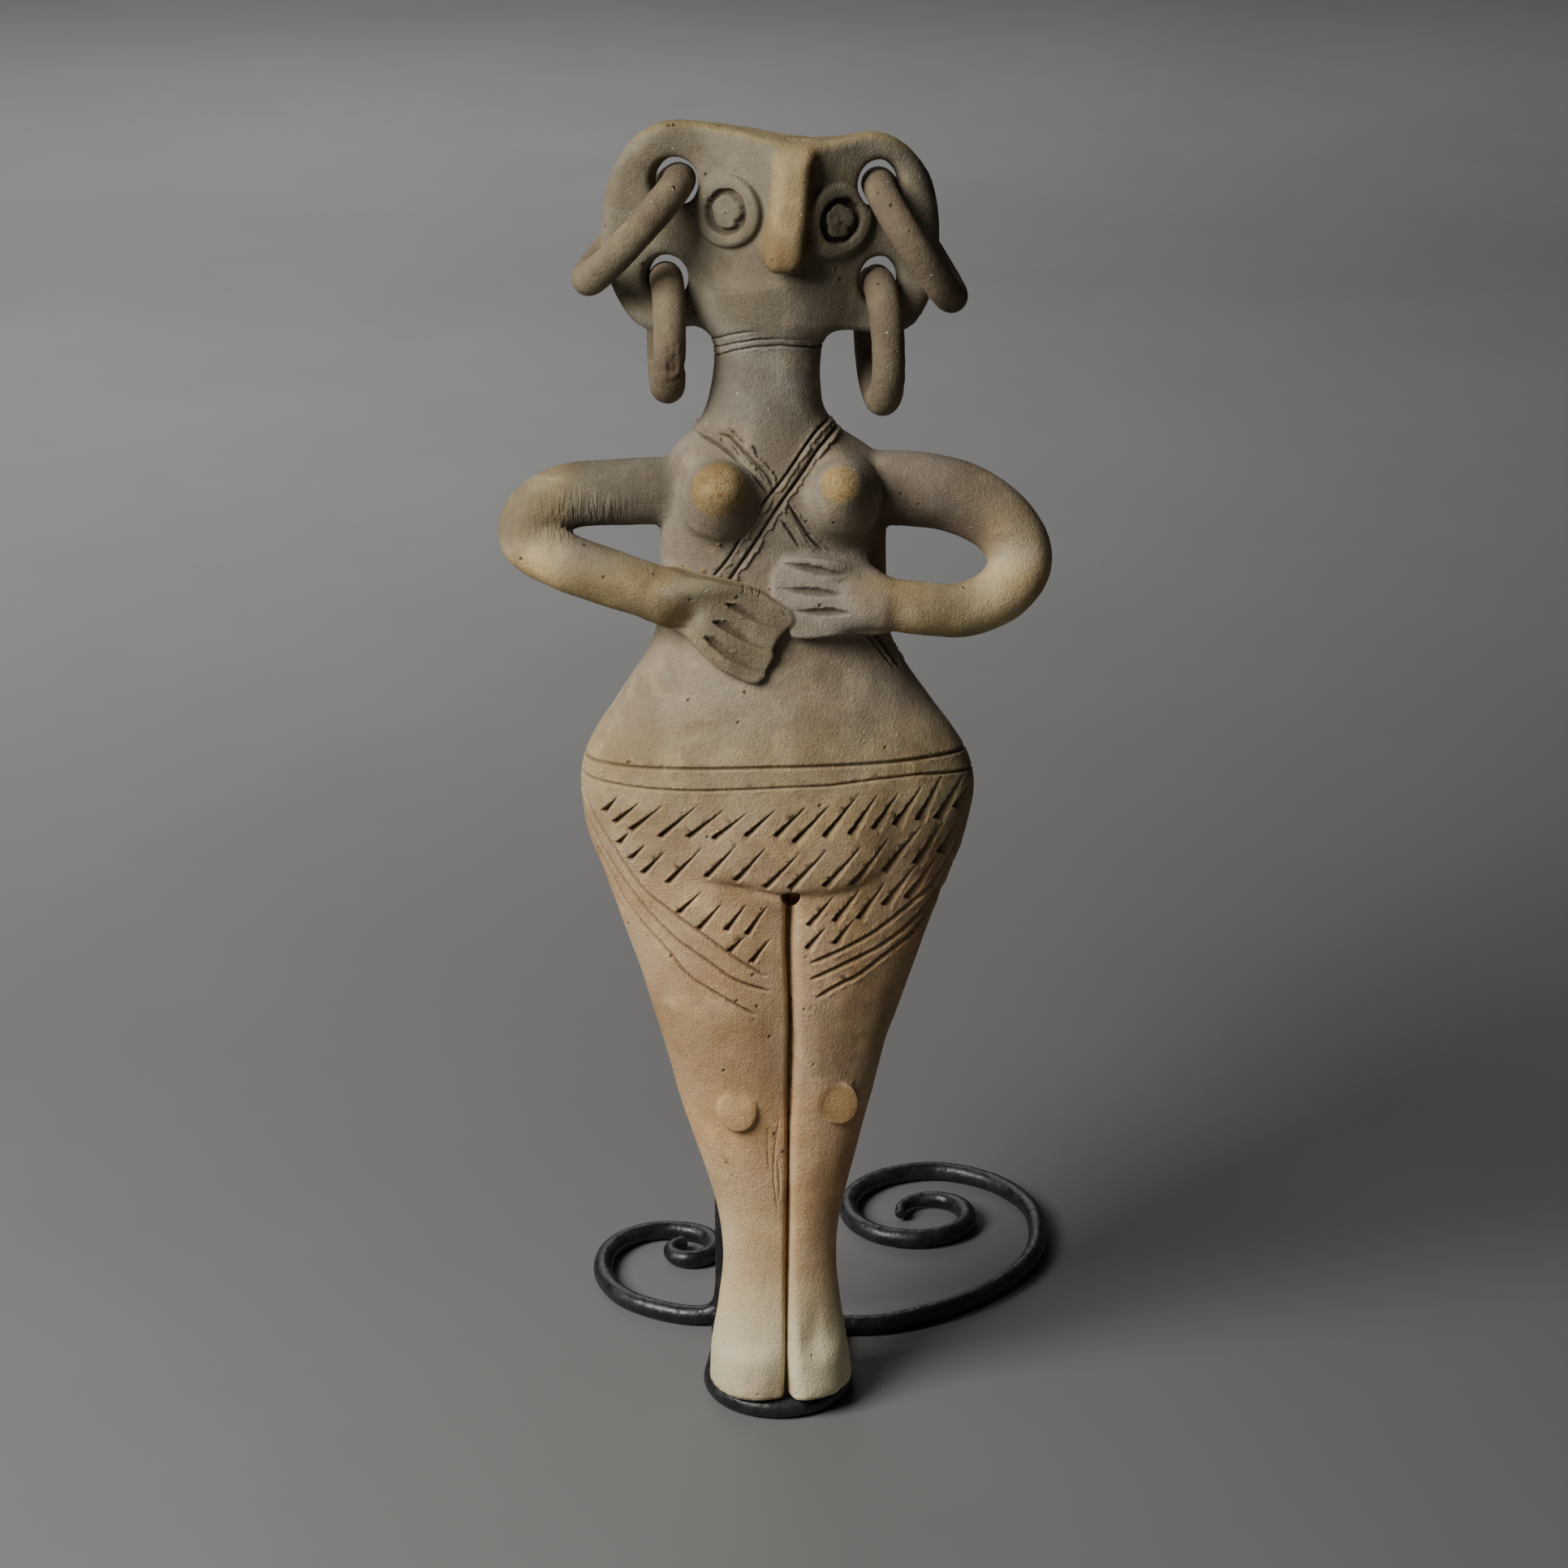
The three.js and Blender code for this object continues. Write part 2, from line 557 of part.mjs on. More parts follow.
const clay = (colour) => new THREE.MeshStandardMaterial({ color: colour, roughness: 0.92, metalness: 0 });
const iron = () => new THREE.MeshStandardMaterial({ color: 0x1c1c1f, roughness: 0.5, metalness: 0.8 });

function named(geometry, name, material) {
  const mesh = new THREE.Mesh(geometry, material);
  mesh.name = name;
  return mesh;
}

const leaning = new THREE.Group();
leaning.position.set(...FIGURE_FOOT);
leaning.rotation.x = -LEAN;
leaning.add(named(geometryOf(figureSolid()), 'figure', clay(0x9c8a70)));
for (const ring of EAR_RINGS) leaning.add(named(earRing(ring), ring.name, clay(0x7d6f5c)));

const group = new THREE.Group();
group.add(leaning);
group.add(named(rod(rightScrollPath(), 72), 'stand_right_scroll', iron()));
group.add(named(rod(leftScrollPath(), 50), 'stand_left_scroll', iron()));

// The origin is on the floor, under the middle of the whole object's box.
const whole = new THREE.Box3().setFromObject(group, true);
const middle = whole.getCenter(new THREE.Vector3());
group.position.set(-middle.x, -middle.y, 0);

export default group;
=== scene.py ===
import bpy
import numpy as np
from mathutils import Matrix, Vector


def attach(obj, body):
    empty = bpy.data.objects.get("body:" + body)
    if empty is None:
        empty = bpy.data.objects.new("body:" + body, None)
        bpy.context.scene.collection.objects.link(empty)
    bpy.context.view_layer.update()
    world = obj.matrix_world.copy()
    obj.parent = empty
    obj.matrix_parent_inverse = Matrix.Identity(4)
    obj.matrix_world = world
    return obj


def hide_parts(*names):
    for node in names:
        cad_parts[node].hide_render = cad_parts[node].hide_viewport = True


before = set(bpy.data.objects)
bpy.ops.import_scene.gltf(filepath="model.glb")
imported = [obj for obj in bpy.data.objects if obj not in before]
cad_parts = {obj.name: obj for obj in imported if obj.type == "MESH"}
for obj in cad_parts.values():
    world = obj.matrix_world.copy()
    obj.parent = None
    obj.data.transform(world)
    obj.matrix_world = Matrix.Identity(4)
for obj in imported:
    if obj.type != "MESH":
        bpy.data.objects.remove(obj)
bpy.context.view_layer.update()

MM = 0.001
MIDDLE = np.array([-4.334, -81.116, 0.0])
FOOT = MIDDLE + [0.0, 13.0, 6.3]
LEAN = np.radians(7.0)
ACROSS = np.array([1.0, 0.0, 0.0])
BACK = np.array([0.0, np.cos(LEAN), -np.sin(LEAN)])
UP = np.array([0.0, np.sin(LEAN), np.cos(LEAN)])
LATTICE = np.random.default_rng(11).uniform(-1, 1, (32, 32, 32))


# Lines, outlines and noise

def stood(own):
    """The figure's own x, d and s turned back by its lean and set on its place on the stand."""
    return FOOT + own[:, :1] * ACROSS + own[:, 1:2] * BACK + own[:, 2:3] * UP


def eased(low, high, value):
    """A smooth step: 0 at low, 1 at high, level at both ends."""
    t = np.clip((value - low) / (high - low), 0, 1)
    return t * t * (3 - 2 * t)


def clumps(points, size, seed=0):
    """Smooth noise from -1 to 1: random numbers on a cubic lattice, blended between its corners."""
    place = points / np.asarray(size, float) + 7.31 * seed + 3.7
    corner = np.floor(place).astype(int)
    t = place - corner
    t = t * t * (3 - 2 * t)
    total = 0.0
    for i in (0, 1):
        for j in (0, 1):
            for k in (0, 1):
                share = (np.abs(1 - i - t[..., 0]) * np.abs(1 - j - t[..., 1])
                         * np.abs(1 - k - t[..., 2]))
                at = (corner + [i, j, k]) % 32
                total = total + share * LATTICE[at[..., 0], at[..., 1], at[..., 2]]
    return total


def through(knots, count, closed=False):
    """A smooth line through knots: cubic spans whose slope at a knot is half its neighbours' chord."""
    knots = np.asarray(knots, float)
    if closed:
        around = np.vstack([knots[-1:], knots, knots[:2]])
    else:
        around = np.vstack([2 * knots[:1] - knots[1:2], knots, 2 * knots[-1:] - knots[-2:-1]])
    before, start, end, after = around[:-3], around[1:-2], around[2:-1], around[3:]
    t = (np.arange(count) / count)[None, :, None]
    leave, arrive = (end - before)[:, None] / 2, (after - start)[:, None] / 2
    line = ((2 * t**3 - 3 * t**2 + 1) * start[:, None] + (t**3 - 2 * t**2 + t) * leave
            + (3 * t**2 - 2 * t**3) * end[:, None] + (t**3 - t**2) * arrive)
    line = line.reshape(-1, knots.shape[1])
    return line if closed else np.vstack([line, knots[-1:]])


def outline_distance(at, corners):
    """Distance in a plane to a closed outline, negative inside: that to its nearest side, with the
    sign from how many sides a level line to the right crosses."""
    start, end = corners, np.roll(corners, -1, axis=0)
    side = end - start
    off = at[:, None, :] - start[None]
    t = np.clip((off * side).sum(2) / (side * side).sum(1), 0, 1)
    gap = np.linalg.norm(off - t[:, :, None] * side, axis=2).min(1)
    x, y = at[:, :1], at[:, 1:]
    span = (start[:, 1] > y) != (end[:, 1] > y)
    rise = np.where(side[:, 1] == 0, 1e-9, side[:, 1])
    meet = start[:, 0] + (y - start[:, 1]) * side[:, 0] / rise
    inside = (span & (x < meet)).sum(1) % 2 == 1
    return np.where(inside, -gap, gap)


# Joining forms

def luted(a, b, fillet):
    """Two forms pressed together, with the joint smoothed over by a fillet of about this size."""
    t = np.clip(0.5 + 0.5 * (b - a) / fillet, 0, 1)
    return b + (a - b) * t - fillet * t * (1 - t)


def carved(a, tool, edge):
    """A form with a tool's shape cut away, and the edge of the cut softened."""
    return -luted(-a, tool, edge)


def luted_in(a, b, fillet):
    """What two forms have in common, with the edge between them rounded."""
    return -luted(-a, -b, fillet)


def slab(flat, thick, edge):
    """What lies inside an outline and between two faces, with its edges rounded."""
    u, v = np.maximum(flat + edge, 0), np.maximum(thick + edge, 0)
    return np.minimum(np.maximum(flat, thick) + edge, 0) + np.hypot(u, v) - edge


def only_near(points, low, high, form):
    """A form that reaches no further than a box, worked out there alone."""
    value = np.full(len(points), 40.0)
    near = ((points > low) & (points < high)).all(1)
    if near.any():
        value[near] = form(points[near])
    return value


# The trunk

# Height, then how far the trunk reaches left, right, forward and back of its axis.
TRUNK = np.array([
    [-9, 19.7, 22.3, 14.2, 12.0], [3, 19.7, 22.2, 14.2, 12.0], [13, 19.4, 21.0, 13.6, 11.8],
    [26, 17.4, 18.9, 11.6, 11.2], [39, 16.2, 17.7, 11.0, 11.2], [52, 17.2, 18.9, 12.0, 11.8],
    [66, 21.0, 21.7, 13.4, 12.6], [88, 28.0, 27.6, 15.2, 13.8], [111, 34.7, 33.5, 17.6, 15.6],
    [134, 41.8, 41.3, 20.0, 17.6], [156, 49.2, 49.7, 22.6, 20.0], [171, 54.8, 54.8, 25.0, 21.6],
    [183, 56.9, 57.4, 26.0, 22.0], [192, 56.4, 56.3, 26.0, 22.0], [200, 53.3, 52.3, 25.6, 21.2],
    [211, 46.0, 44.1, 24.0, 19.8], [223, 38.4, 36.2, 22.0, 18.4], [232, 34.9, 32.2, 20.8, 17.7],
    [246, 33.9, 31.6, 20.2, 17.8], [262, 33.5, 31.5, 20.0, 18.6], [276, 32.6, 31.0, 19.2, 18.6],
    [283, 30.2, 27.4, 17.8, 17.8], [289, 24.4, 18.8, 16.2, 16.2], [295, 20.8, 14.0, 14.6, 14.6],
    [303, 18.6, 12.7, 13.0, 13.4], [311, 17.8, 12.9, 12.6, 13.0], [317, 18.6, 13.8, 13.2, 12.8],
    [326, 21.0, 17.0, 14.0, 12.0]])
SQUARENESS = 2.4
HEIGHTS = np.arange(-14.0, 336.0, 0.5)


def table_rows():
    """The trunk's table made smooth: a cubic between two stations, with the slope of the chord."""
    height, reach = TRUNK[:, 0], TRUNK[:, 1:]
    ahead = np.minimum(np.arange(len(TRUNK)) + 1, len(TRUNK) - 1)
    behind = np.maximum(np.arange(len(TRUNK)) - 1, 0)
    slope = (reach[ahead] - reach[behind]) / (height[ahead] - height[behind])[:, None]
    at = np.clip(HEIGHTS, height[0], height[-1])
    i = np.clip(np.searchsorted(height, at, side="right") - 1, 0, len(height) - 2)
    step = (height[i + 1] - height[i])[:, None]
    t = (at[:, None] - height[i][:, None]) / step
    left, right, front, back = ((2 * t**3 - 3 * t**2 + 1) * reach[i]
                                + (t**3 - 2 * t**2 + t) * slope[i] * step
                                + (3 * t**2 - 2 * t**3) * reach[i + 1]
                                + (t**3 - t**2) * slope[i + 1] * step).T
    rows = {"centre": (right - left) / 2, "half": (right + left) / 2, "front": front, "back": back}
    rows.update({name + "_slope": np.gradient(row, 0.5) for name, row in list(rows.items())})
    return rows


ROWS = table_rows()


def row(name, height):
    return np.interp(height, HEIGHTS, ROWS[name])


def trunk(points):
    """A squared oval at each height: |x / half|^2.4 + |d / depth|^2.4 = 1, with the power 1.9 at the
    front right below the neck. Its distance is the oval's value less one, over the length of the
    value's slope."""
    x, d, s = points.T
    facing = d < 0
    n = np.where(facing & (x > row("centre", s)), SQUARENESS - 0.5 * eased(302, 284, s), SQUARENESS)
    half, depth = row("half", s), np.where(facing, row("front", s), row("back", s))
    u = np.abs(x - row("centre", s)) / half
    v = np.abs(d) / depth
    value = np.maximum((u**n + v**n)**(1 / n), 0.05)
    ease = value**(1 - n)
    across, deep = u**(n - 1) * ease / half, v**(n - 1) * ease / depth
    depth_slope = np.where(facing, row("front_slope", s), row("back_slope", s))
    rise = (across * (u * row("half_slope", s) + np.sign(x) * row("centre_slope", s))
            + deep * v * depth_slope)
    body = (value - 1) / np.sqrt(across**2 + deep**2 + rise**2)
    return np.maximum(body, s - 330)


def skin(x, s, facing=-1):
    """Depth of the trunk's skin at a place on its front (-1) or its back (1)."""
    u = np.minimum(np.abs(x - row("centre", s)) / row("half", s), 0.999)
    depth = row("front" if facing < 0 else "back", s)
    n = np.where((facing < 0) & (x > row("centre", s)), SQUARENESS - 0.5 * eased(302, 284, s), SQUARENESS)
    return facing * depth * (1 - u**n)**(1 / n)


CLEFT_HEIGHTS = [0, 29, 55, 80, 112, 125, 140, 156]
CLEFT_X = [2.7, 2.9, 3.2, 3.4, 4.0, 3.7, 3.1, 3.3]


def cleft(points, body):
    """The parting of the legs: in front a wedge with a steep left wall and a broad sloping right one,
    at the back an even one. Both walls run straight from their rim on the skin to the bottom line."""
    x, d, s = points.T
    facing = d < 0
    deep = np.where(facing,
                    np.interp(s, [0, 12, 30, 60, 110, 140, 156], [4.4, 2.6, 2.1, 2.1, 2.9, 3.7, 4.0]), 4.0)
    bottom = np.interp(s, CLEFT_HEIGHTS, CLEFT_X)
    left = bottom - np.where(facing, np.interp(s, [0, 60, 156], [1.1, 0.9, 1.2]), 1.4)
    right = bottom + np.where(facing,
                              np.interp(s, [0, 8, 40, 80, 110, 135, 156],
                                        [2.4, 2.0, 1.6, 1.9, 2.5, 3.0, 2.8]), 1.4)
    under = np.clip(-body / deep, -1, 1.6)
    wedge = 0.9 * np.maximum(left + (bottom - left) * under - x, x - right + (right - bottom) * under)
    wedge = np.maximum(wedge, s - np.where(facing, 156, 148))
    return carved(body, wedge, 1.0)


def slit(points):
    """The deep narrow cut at the bottom of the parting, straight back into the clay."""
    x, d, s = points.T
    off = np.abs(x - np.interp(s, CLEFT_HEIGHTS, CLEFT_X) + 0.25)
    deep = np.interp(s, [0, 20, 60, 110, 156], [1.6, 1.2, 1.3, 1.6, 1.5])
    return deep * np.clip(1 - off / 0.8, 0, 1)**0.8 * eased(156.5, 153, s) * (d < 0)


# The arms and hands

LEFT_ARM = through([
    [-24, 0, 271.4, 10], [-46, 0, 271, 9.7], [-60, 0, 269.6, 9.6], [-69.4, -1.4, 264.4, 9.25],
    [-70.4, -4.6, 257.8, 8.8], [-61, -9, 252.6, 8.3], [-46, -14.3, 248.4, 8.0],
    [-38, -16.2, 246.2, 7.9], [-31, -16.6, 243.8, 7.8], [-24, -16.4, 243.2, 6.4]], 7)
RIGHT_ARM = through([
    [22, 0, 272.4, 10.8], [40, 0, 271.8, 10.6], [53, 0, 269.2, 10.3], [64.4, -1.6, 262.6, 9.8],
    [70, -4.6, 252.4, 9.2], [64.6, -8.6, 243.4, 8.4], [54, -13, 239.4, 7.8],
    [42, -16.8, 240.4, 7.6], [31, -17.2, 242.2, 7.4], [22, -16.6, 244, 6.4]], 7)


def coil(points, line):
    """A rolled coil of clay: the least distance to the stretches of its line, less its radius there."""
    start, end = line[:-1], line[1:]
    along = (end - start)[:, :3]
    off = points[:, None, :] - start[None, :, :3]
    t = np.clip((off * along).sum(2) / (along * along).sum(1), 0, 1)
    radius = start[:, 3] + t * (end - start)[:, 3]
    return (np.linalg.norm(off - t[:, :, None] * along, axis=2) - radius).min(1)


LEFT_HAND = through([
    [-33.0, 238.6], [-34.5, 244.5], [-33.0, 249.4], [-29.1, 251.0], [-23.5, 250.6], [-16.4, 249.6],
    [-9.6, 248.1], [-4.4, 246.3], [-0.6, 244.1], [2.4, 242.2], [3.9, 241.4], [5.0, 239.4], [4.6, 237.3],
    [2.4, 235.1], [0.6, 233.1], [-0.8, 230.3], [-0.6, 228.0], [-1.8, 225.4], [-2.8, 223.4],
    [-3.1, 221.9], [-4.5, 220.6], [-6.1, 219.9], [-8.8, 220.4], [-11.4, 221.6], [-16, 223.7],
    [-19.2, 226.2], [-22.5, 229.6], [-25.8, 233.0], [-29.1, 235.3]], 3, closed=True)
RIGHT_HAND = through([
    [30, 248.6], [22.8, 253.6], [12.2, 256.2], [5.0, 256.4], [2.0, 255.5], [0.2, 253.2],
    [-0.9, 250.8], [-1.2, 247.0], [-0.9, 243.7], [1.6, 241.3], [3.4, 238.6], [3.6, 234.8],
    [5.8, 233.0], [14.6, 233.6], [21.5, 234.2], [30, 234.6]], 3, closed=True)


def left_hand(points):
    """A pressed slab on the belly. Its wrist end takes the round of the forearm, the forearm's ridge
    runs on along its upper edge, and it is dished below that ridge."""
    x, d, s = points.T
    front = 24.4 + 0.2 * np.sin(x / 2.3 + s / 3) + 0.9 * np.exp(-((s - 247.2) / 2.2)**2) * eased(-8, -18, x)
    front = front - 2.7 * np.exp(-((x + 25.6) / 4.2)**2 - ((s - 240.2) / 3.2)**2)
    front = front - eased(-20, -32, x) * (8 - np.sqrt(np.maximum(64 - (s - 243.8)**2, 6)))
    thick = np.maximum(-d - front, d + 12)
    return slab(outline_distance(points[:, [0, 2]], LEFT_HAND), thick, 1.0)


def right_hand(points):
    """A pressed slab, proud at its lower edge and thin at its upper one."""
    x, d, s = points.T
    front = 21.9 + 1.7 * eased(257, 240, s) + 0.05 * np.maximum(x, 0) - 0.8 * eased(7, -1, x)
    front = front - eased(14, 28, x) * (7.6 - np.sqrt(np.maximum(58 - (s - 242.2)**2, 6)))
    thick = np.maximum(-d - front, d + 12)
    return slab(outline_distance(points[:, [0, 2]], RIGHT_HAND), thick, 1.1)


# The head

# From the left ear to the right one: x, then the heights of the lower and the upper edge.
HEAD = np.array([
    [-49.7, 340.5, 347.5], [-49.2, 336, 354.5], [-47.4, 331.5, 361.5], [-44, 324, 368],
    [-39, 319.4, 373.8], [-32, 317.8, 377], [-24, 319.6, 377.3], [-14, 320.4, 376.2],
    [-3, 320.4, 374.4], [10, 319.8, 372.4], [19, 318.8, 373.2], [27, 317.6, 374.5],
    [34, 317.4, 372.4], [39.4, 319.8, 368], [43, 325.4, 362.8], [45.2, 331.6, 356.4],
    [46.2, 337, 350], [46.5, 341, 346]])
HEAD_OUTLINE = through(np.vstack([HEAD[:, [0, 2]], HEAD[::-1, [0, 1]]]), 2, closed=True)
NOSE_X = 3.0
FACE_SLOPE = 0.64


def face_depth(x, s):
    """How far the face stands forward: a keel at the nose whose two sides fall back to the ears."""
    keel = 13.6 - FACE_SLOPE * (np.hypot(x - NOSE_X, 6) - 4.6)
    keel = 0.5 * (keel + np.hypot(keel, 2.4))
    waning = (1 - 0.0016 * np.maximum(s - 364, 0)**1.6
              - 0.00055 * np.maximum(338 - s, 0)**2)
    return 3.6 + keel * np.clip(waning, 0, 1)


def head(points):
    """A slab of clay between the two ears: its face is folded to a keel, its back is nearly flat, and
    the ears turn back towards their thickened rims."""
    x, d, s = points.T
    flat = outline_distance(points[:, [0, 2]], HEAD_OUTLINE)
    bend = 0.012 * np.maximum(np.abs(x + 1.5) - 28, 0)**2
    rim = 0.7 * np.exp(-((flat + 3.5) / 2.6)**2) * eased(24, 34, np.abs(x + 1.5))
    front = (-(d - bend) - face_depth(x, s) - rim) * 0.86
    behind = d - bend - 4 - 4 * np.exp(-((x + 1) / 19)**2) - 0.6 * rim
    return slab(flat, luted_in(front, behind, 2.0), 2.6)


# The beak in profile: depth and height round its outline.
BEAK = through([
    [-3, 371.0], [-11, 371.6], [-17.2, 370.4], [-20.0, 366.4], [-21.0, 360], [-22.0, 353], [-23.6, 346.8],
    [-24.8, 342.8], [-24.4, 339.4], [-21.6, 337.6], [-18, 338.8], [-11, 342], [-2, 345]], 3, closed=True)


def beak(points):
    """The pinched ridge of the nose: its profile carried across its width, with rounded edges."""
    x, d, s = points.T
    middle = np.interp(s, [336, 345, 356, 372], [1.9, 2.6, 4.4, 5.4])
    half = np.interp(s, [336, 343, 356, 366, 373], [5.2, 5.6, 5.0, 5.0, 6.4]) + 0.10 * (d + 20)
    return slab(outline_distance(points[:, 1:], BEAK), np.abs(x - middle) - half, 3.6)


EYES = [(-13.4, 353.3, -1), (17.2, 350.9, 1)]


def eye_plane(points, x, s, side):
    """Distance from an eye's middle across the sloping face, the turn round it and the height over it."""
    lean = np.arctan(FACE_SLOPE)
    off = points - [x, -face_depth(x, s), s]
    a = off[:, 0] * np.cos(lean) + off[:, 1] * side * np.sin(lean)
    high = off[:, 0] * side * np.sin(lean) - off[:, 1] * np.cos(lean)
    return np.hypot(a, off[:, 2]), np.arctan2(off[:, 2], a), high


def eye(points, x, s, side):
    """A flat disc pressed on the face: the blank that the ring and the pellet are cut from."""
    reach, turn, high = eye_plane(points, x, s, side)
    wobble = 0.3 * np.sin(2 * turn + 0.6) + 0.2 * np.sin(3 * turn + 2)
    return slab(reach - 10.7 - wobble, np.abs(high - 0.1) - 2.0 - 0.2 * np.sin(turn * 2 + 1), 1.5)


def eye_cut(points):
    """The gap between ring and pellet with its broken edge, the sunk pellet and the rounded ring."""
    deep = np.zeros(len(points))
    for place in EYES:
        box = np.array([place[0], -10, place[1]])
        near = np.flatnonzero((np.abs(points - box) < 13).all(1))
        reach, turn, high = eye_plane(points[near], *place)
        rough = clumps(points[near], 1.4, 61)
        edge = (4.7 + 0.22 * np.sin(5 * turn) + 0.18 * np.sin(3 * turn + 1) + 0.2 * rough
                - 1.3 * np.exp(-((turn + 0.7) / 0.2)**2) - 0.6 * np.exp(-((turn - 0.3) / 0.15)**2))
        inner = 6.6 + 0.25 * np.sin(2 * turn + 0.6) + 0.2 * rough
        gap = eased(edge - 0.2, edge + 0.25, reach) * eased(inner + 0.5, inner - 0.3, reach)
        pellet = 0.5 + 0.02 * reach**2 * (reach < edge) * 0.3 + 0.12 * rough
        shape = np.where(reach < edge + 0.25, pellet, 0.25 * ((reach - 8.6) / 1.9)**2)
        deep[near] = np.maximum(2.3 * gap, shape * (reach < 10)) * (high > 0.2)
    return deep


# Ear holes: x, height and radius. They were pushed through square to the sloping face.
EAR_HOLES = [(-28.4, 360.8, 6.9), (-31.2, 333.4, 6.5), (28.4, 360.2, 6.8), (28.6, 333.0, 6.7)]


# Breasts and knees

BREAST_PROFILE = np.array([[-8, 0], [-8, 11.8], [-1, 11.8], [1.5, 11.0], [5.4, 9.2], [9.6, 7.1],
                           [12.2, 5.4], [13.8, 3.2], [14.4, 0]])
BREASTS = [(-16.0, 273.0), (18.4, 273.4)]


def breast(points, x, s):
    """A blunt cone that points forward and a little up: its profile is turned round its axis."""
    tilt = np.radians(27)
    axis = np.array([0.0, -np.cos(tilt), np.sin(tilt)])
    off = points - [x, float(skin(x, s)), s]
    high = off @ axis
    wide = np.linalg.norm(off - high[:, None] * axis, axis=1)
    return outline_distance(np.stack([high, wide], 1), BREAST_PROFILE)


KNEES = [(-11.5, 88.9, 6.0, 0.5), (18.2, 90.4, 6.1, 0.0)]


def knee(points, x, s, radius, tilt):
    """A thin pellet pressed on the leg, proud on its lower right where it tilts."""
    face = float(skin(x, s))
    off = points - [x, face, s]
    proud = 0.9 + tilt * (1.2 * off[:, 0] - off[:, 2]) / radius
    reach = np.hypot(off[:, 0], off[:, 2] * 0.93)
    dome = proud + 0.7 * (1 - (reach / radius)**2)
    return slab(reach - radius, np.maximum(-off[:, 1] - dome, off[:, 1] - 4), 0.8)


# The whole figure as one form

def figure_form(points):
    """Distance to the figure's skin before the fine carving: its parts luted together in the order
    in which they were put on."""
    x, d, s = points.T
    form = trunk(points)
    form = cleft(points, form)
    for place in BREASTS:
        box = np.array([place[0], -20, place[1]])
        form = luted(form, only_near(points, box - 24, box + 24, lambda p: breast(p, *place)), 3.4)
    for place in KNEES:
        box = np.array([place[0], -14, place[1]])
        form = luted(form, only_near(points, box - 12, box + 12, lambda p: knee(p, *place)), 0.7)
    form = luted(form, only_near(points, [-92, -42, 224], [-12, 22, 292], lambda p: coil(p, LEFT_ARM)), 1.3)
    form = luted(form, only_near(points, [10, -42, 218], [92, 22, 294], lambda p: coil(p, RIGHT_ARM)), 1.3)
    form = luted(form, only_near(points, [-12, -40, 222], [44, 2, 268], right_hand),
                 2.0 + 3 * eased(14, 26, x))
    form = luted(form, only_near(points, [-48, -40, 208], [16, 2, 262], left_hand),
                 0.9 + 2.6 * eased(-20, -30, x))
    form = luted(form, only_near(points, [-62, -34, 302], [60, 30, 392], head), 7.0)
    form = luted(form, only_near(points, [-14, -38, 324], [20, 12, 386], beak), 2.0 + 2.4 * eased(3, -3, x))
    for place in EYES:
        box = np.array([place[0], -10, place[1]])
        form = luted(form, only_near(points, box - 22, box + 22, lambda p: eye(p, *place)), 0.5)
    for hole_x, hole_s, radius in EAR_HOLES:
        pushed = x - hole_x + np.sign(hole_x) * 0.34 * (d + 1)
        hole = np.hypot(pushed, s - hole_s) - radius
        form = np.where(s > 300, carved(form, hole, 2.6), form)
    pit = np.maximum(np.hypot(x - 4.1, s - 156.4 + 0.35 * (d + 22)) - 2.5, d + 15)
    form = np.where((d < 0) & (s > 140) & (s < 170), carved(form, pit, 0.8), form)
    sole = -(s * np.cos(LEAN) - d * np.sin(LEAN))
    return np.where(s < 40, carved(form, -sole, 1.6), form)


# A skin over a form

def skin_of(form, low, high, step):
    """Surface nets: the form is sampled on a cubic grid. Each cell that the skin passes through gets
    one corner, the mean of where the skin cuts its edges, and each cut edge joins its four cells."""
    axes = [np.arange(a, b, step) for a, b in zip(low, high)]
    grid = np.stack(np.meshgrid(*axes, indexing="ij"), -1)
    value = form(grid.reshape(-1, 3)).reshape(grid.shape[:3])
    cells = tuple(n - 1 for n in value.shape)
    total, count = np.zeros((*cells, 3)), np.zeros(cells)
    for axis in range(3):
        one = np.moveaxis(value, axis, 0)
        cut = (one[:-1] < 0) != (one[1:] < 0)
        part = np.where(cut, one[:-1] / np.where(cut, one[:-1] - one[1:], 1), 0)
        place = np.moveaxis(grid, axis, 0)[:-1].copy()
        place[..., axis] += part * step
        place *= cut[..., None]
        place, cut = np.moveaxis(place, 0, axis), np.moveaxis(cut, 0, axis)
        others = [a for a in range(3) if a != axis]
        for i in (0, 1):
            for j in (0, 1):
                window = [slice(None)] * 3
                window[others[0]] = slice(i, i + cells[others[0]])
                window[others[1]] = slice(j, j + cells[others[1]])
                total += place[tuple(window)]
                count += cut[tuple(window)]
    held = count > 0
    number = np.full(cells, -1)
    number[held] = np.arange(held.sum())
    corners = total[held] / count[held][:, None]
    faces = []
    for axis in range(3):
        order = (axis, (axis + 1) % 3, (axis + 2) % 3)
        one, ids = value.transpose(order), number.transpose(order)
        inside = one[:-1, 1:-1, 1:-1] < 0
        cut = inside != (one[1:, 1:-1, 1:-1] < 0)
        quad = np.stack([ids[:, :-1, :-1], ids[:, 1:, :-1], ids[:, 1:, 1:], ids[:, :-1, 1:]], -1)[cut]
        faces.append(np.where(inside[cut][:, None], quad, quad[:, ::-1]))
    quads = np.vstack(faces)
    return corners, np.vstack([quads[:, [0, 1, 2]], quads[:, [0, 2, 3]]])


def slope_of(form, points):
    here = form(points)
    slope = np.stack([form(points + step) - here for step in np.eye(3) * 0.02], 1) / 0.02
    return here, slope


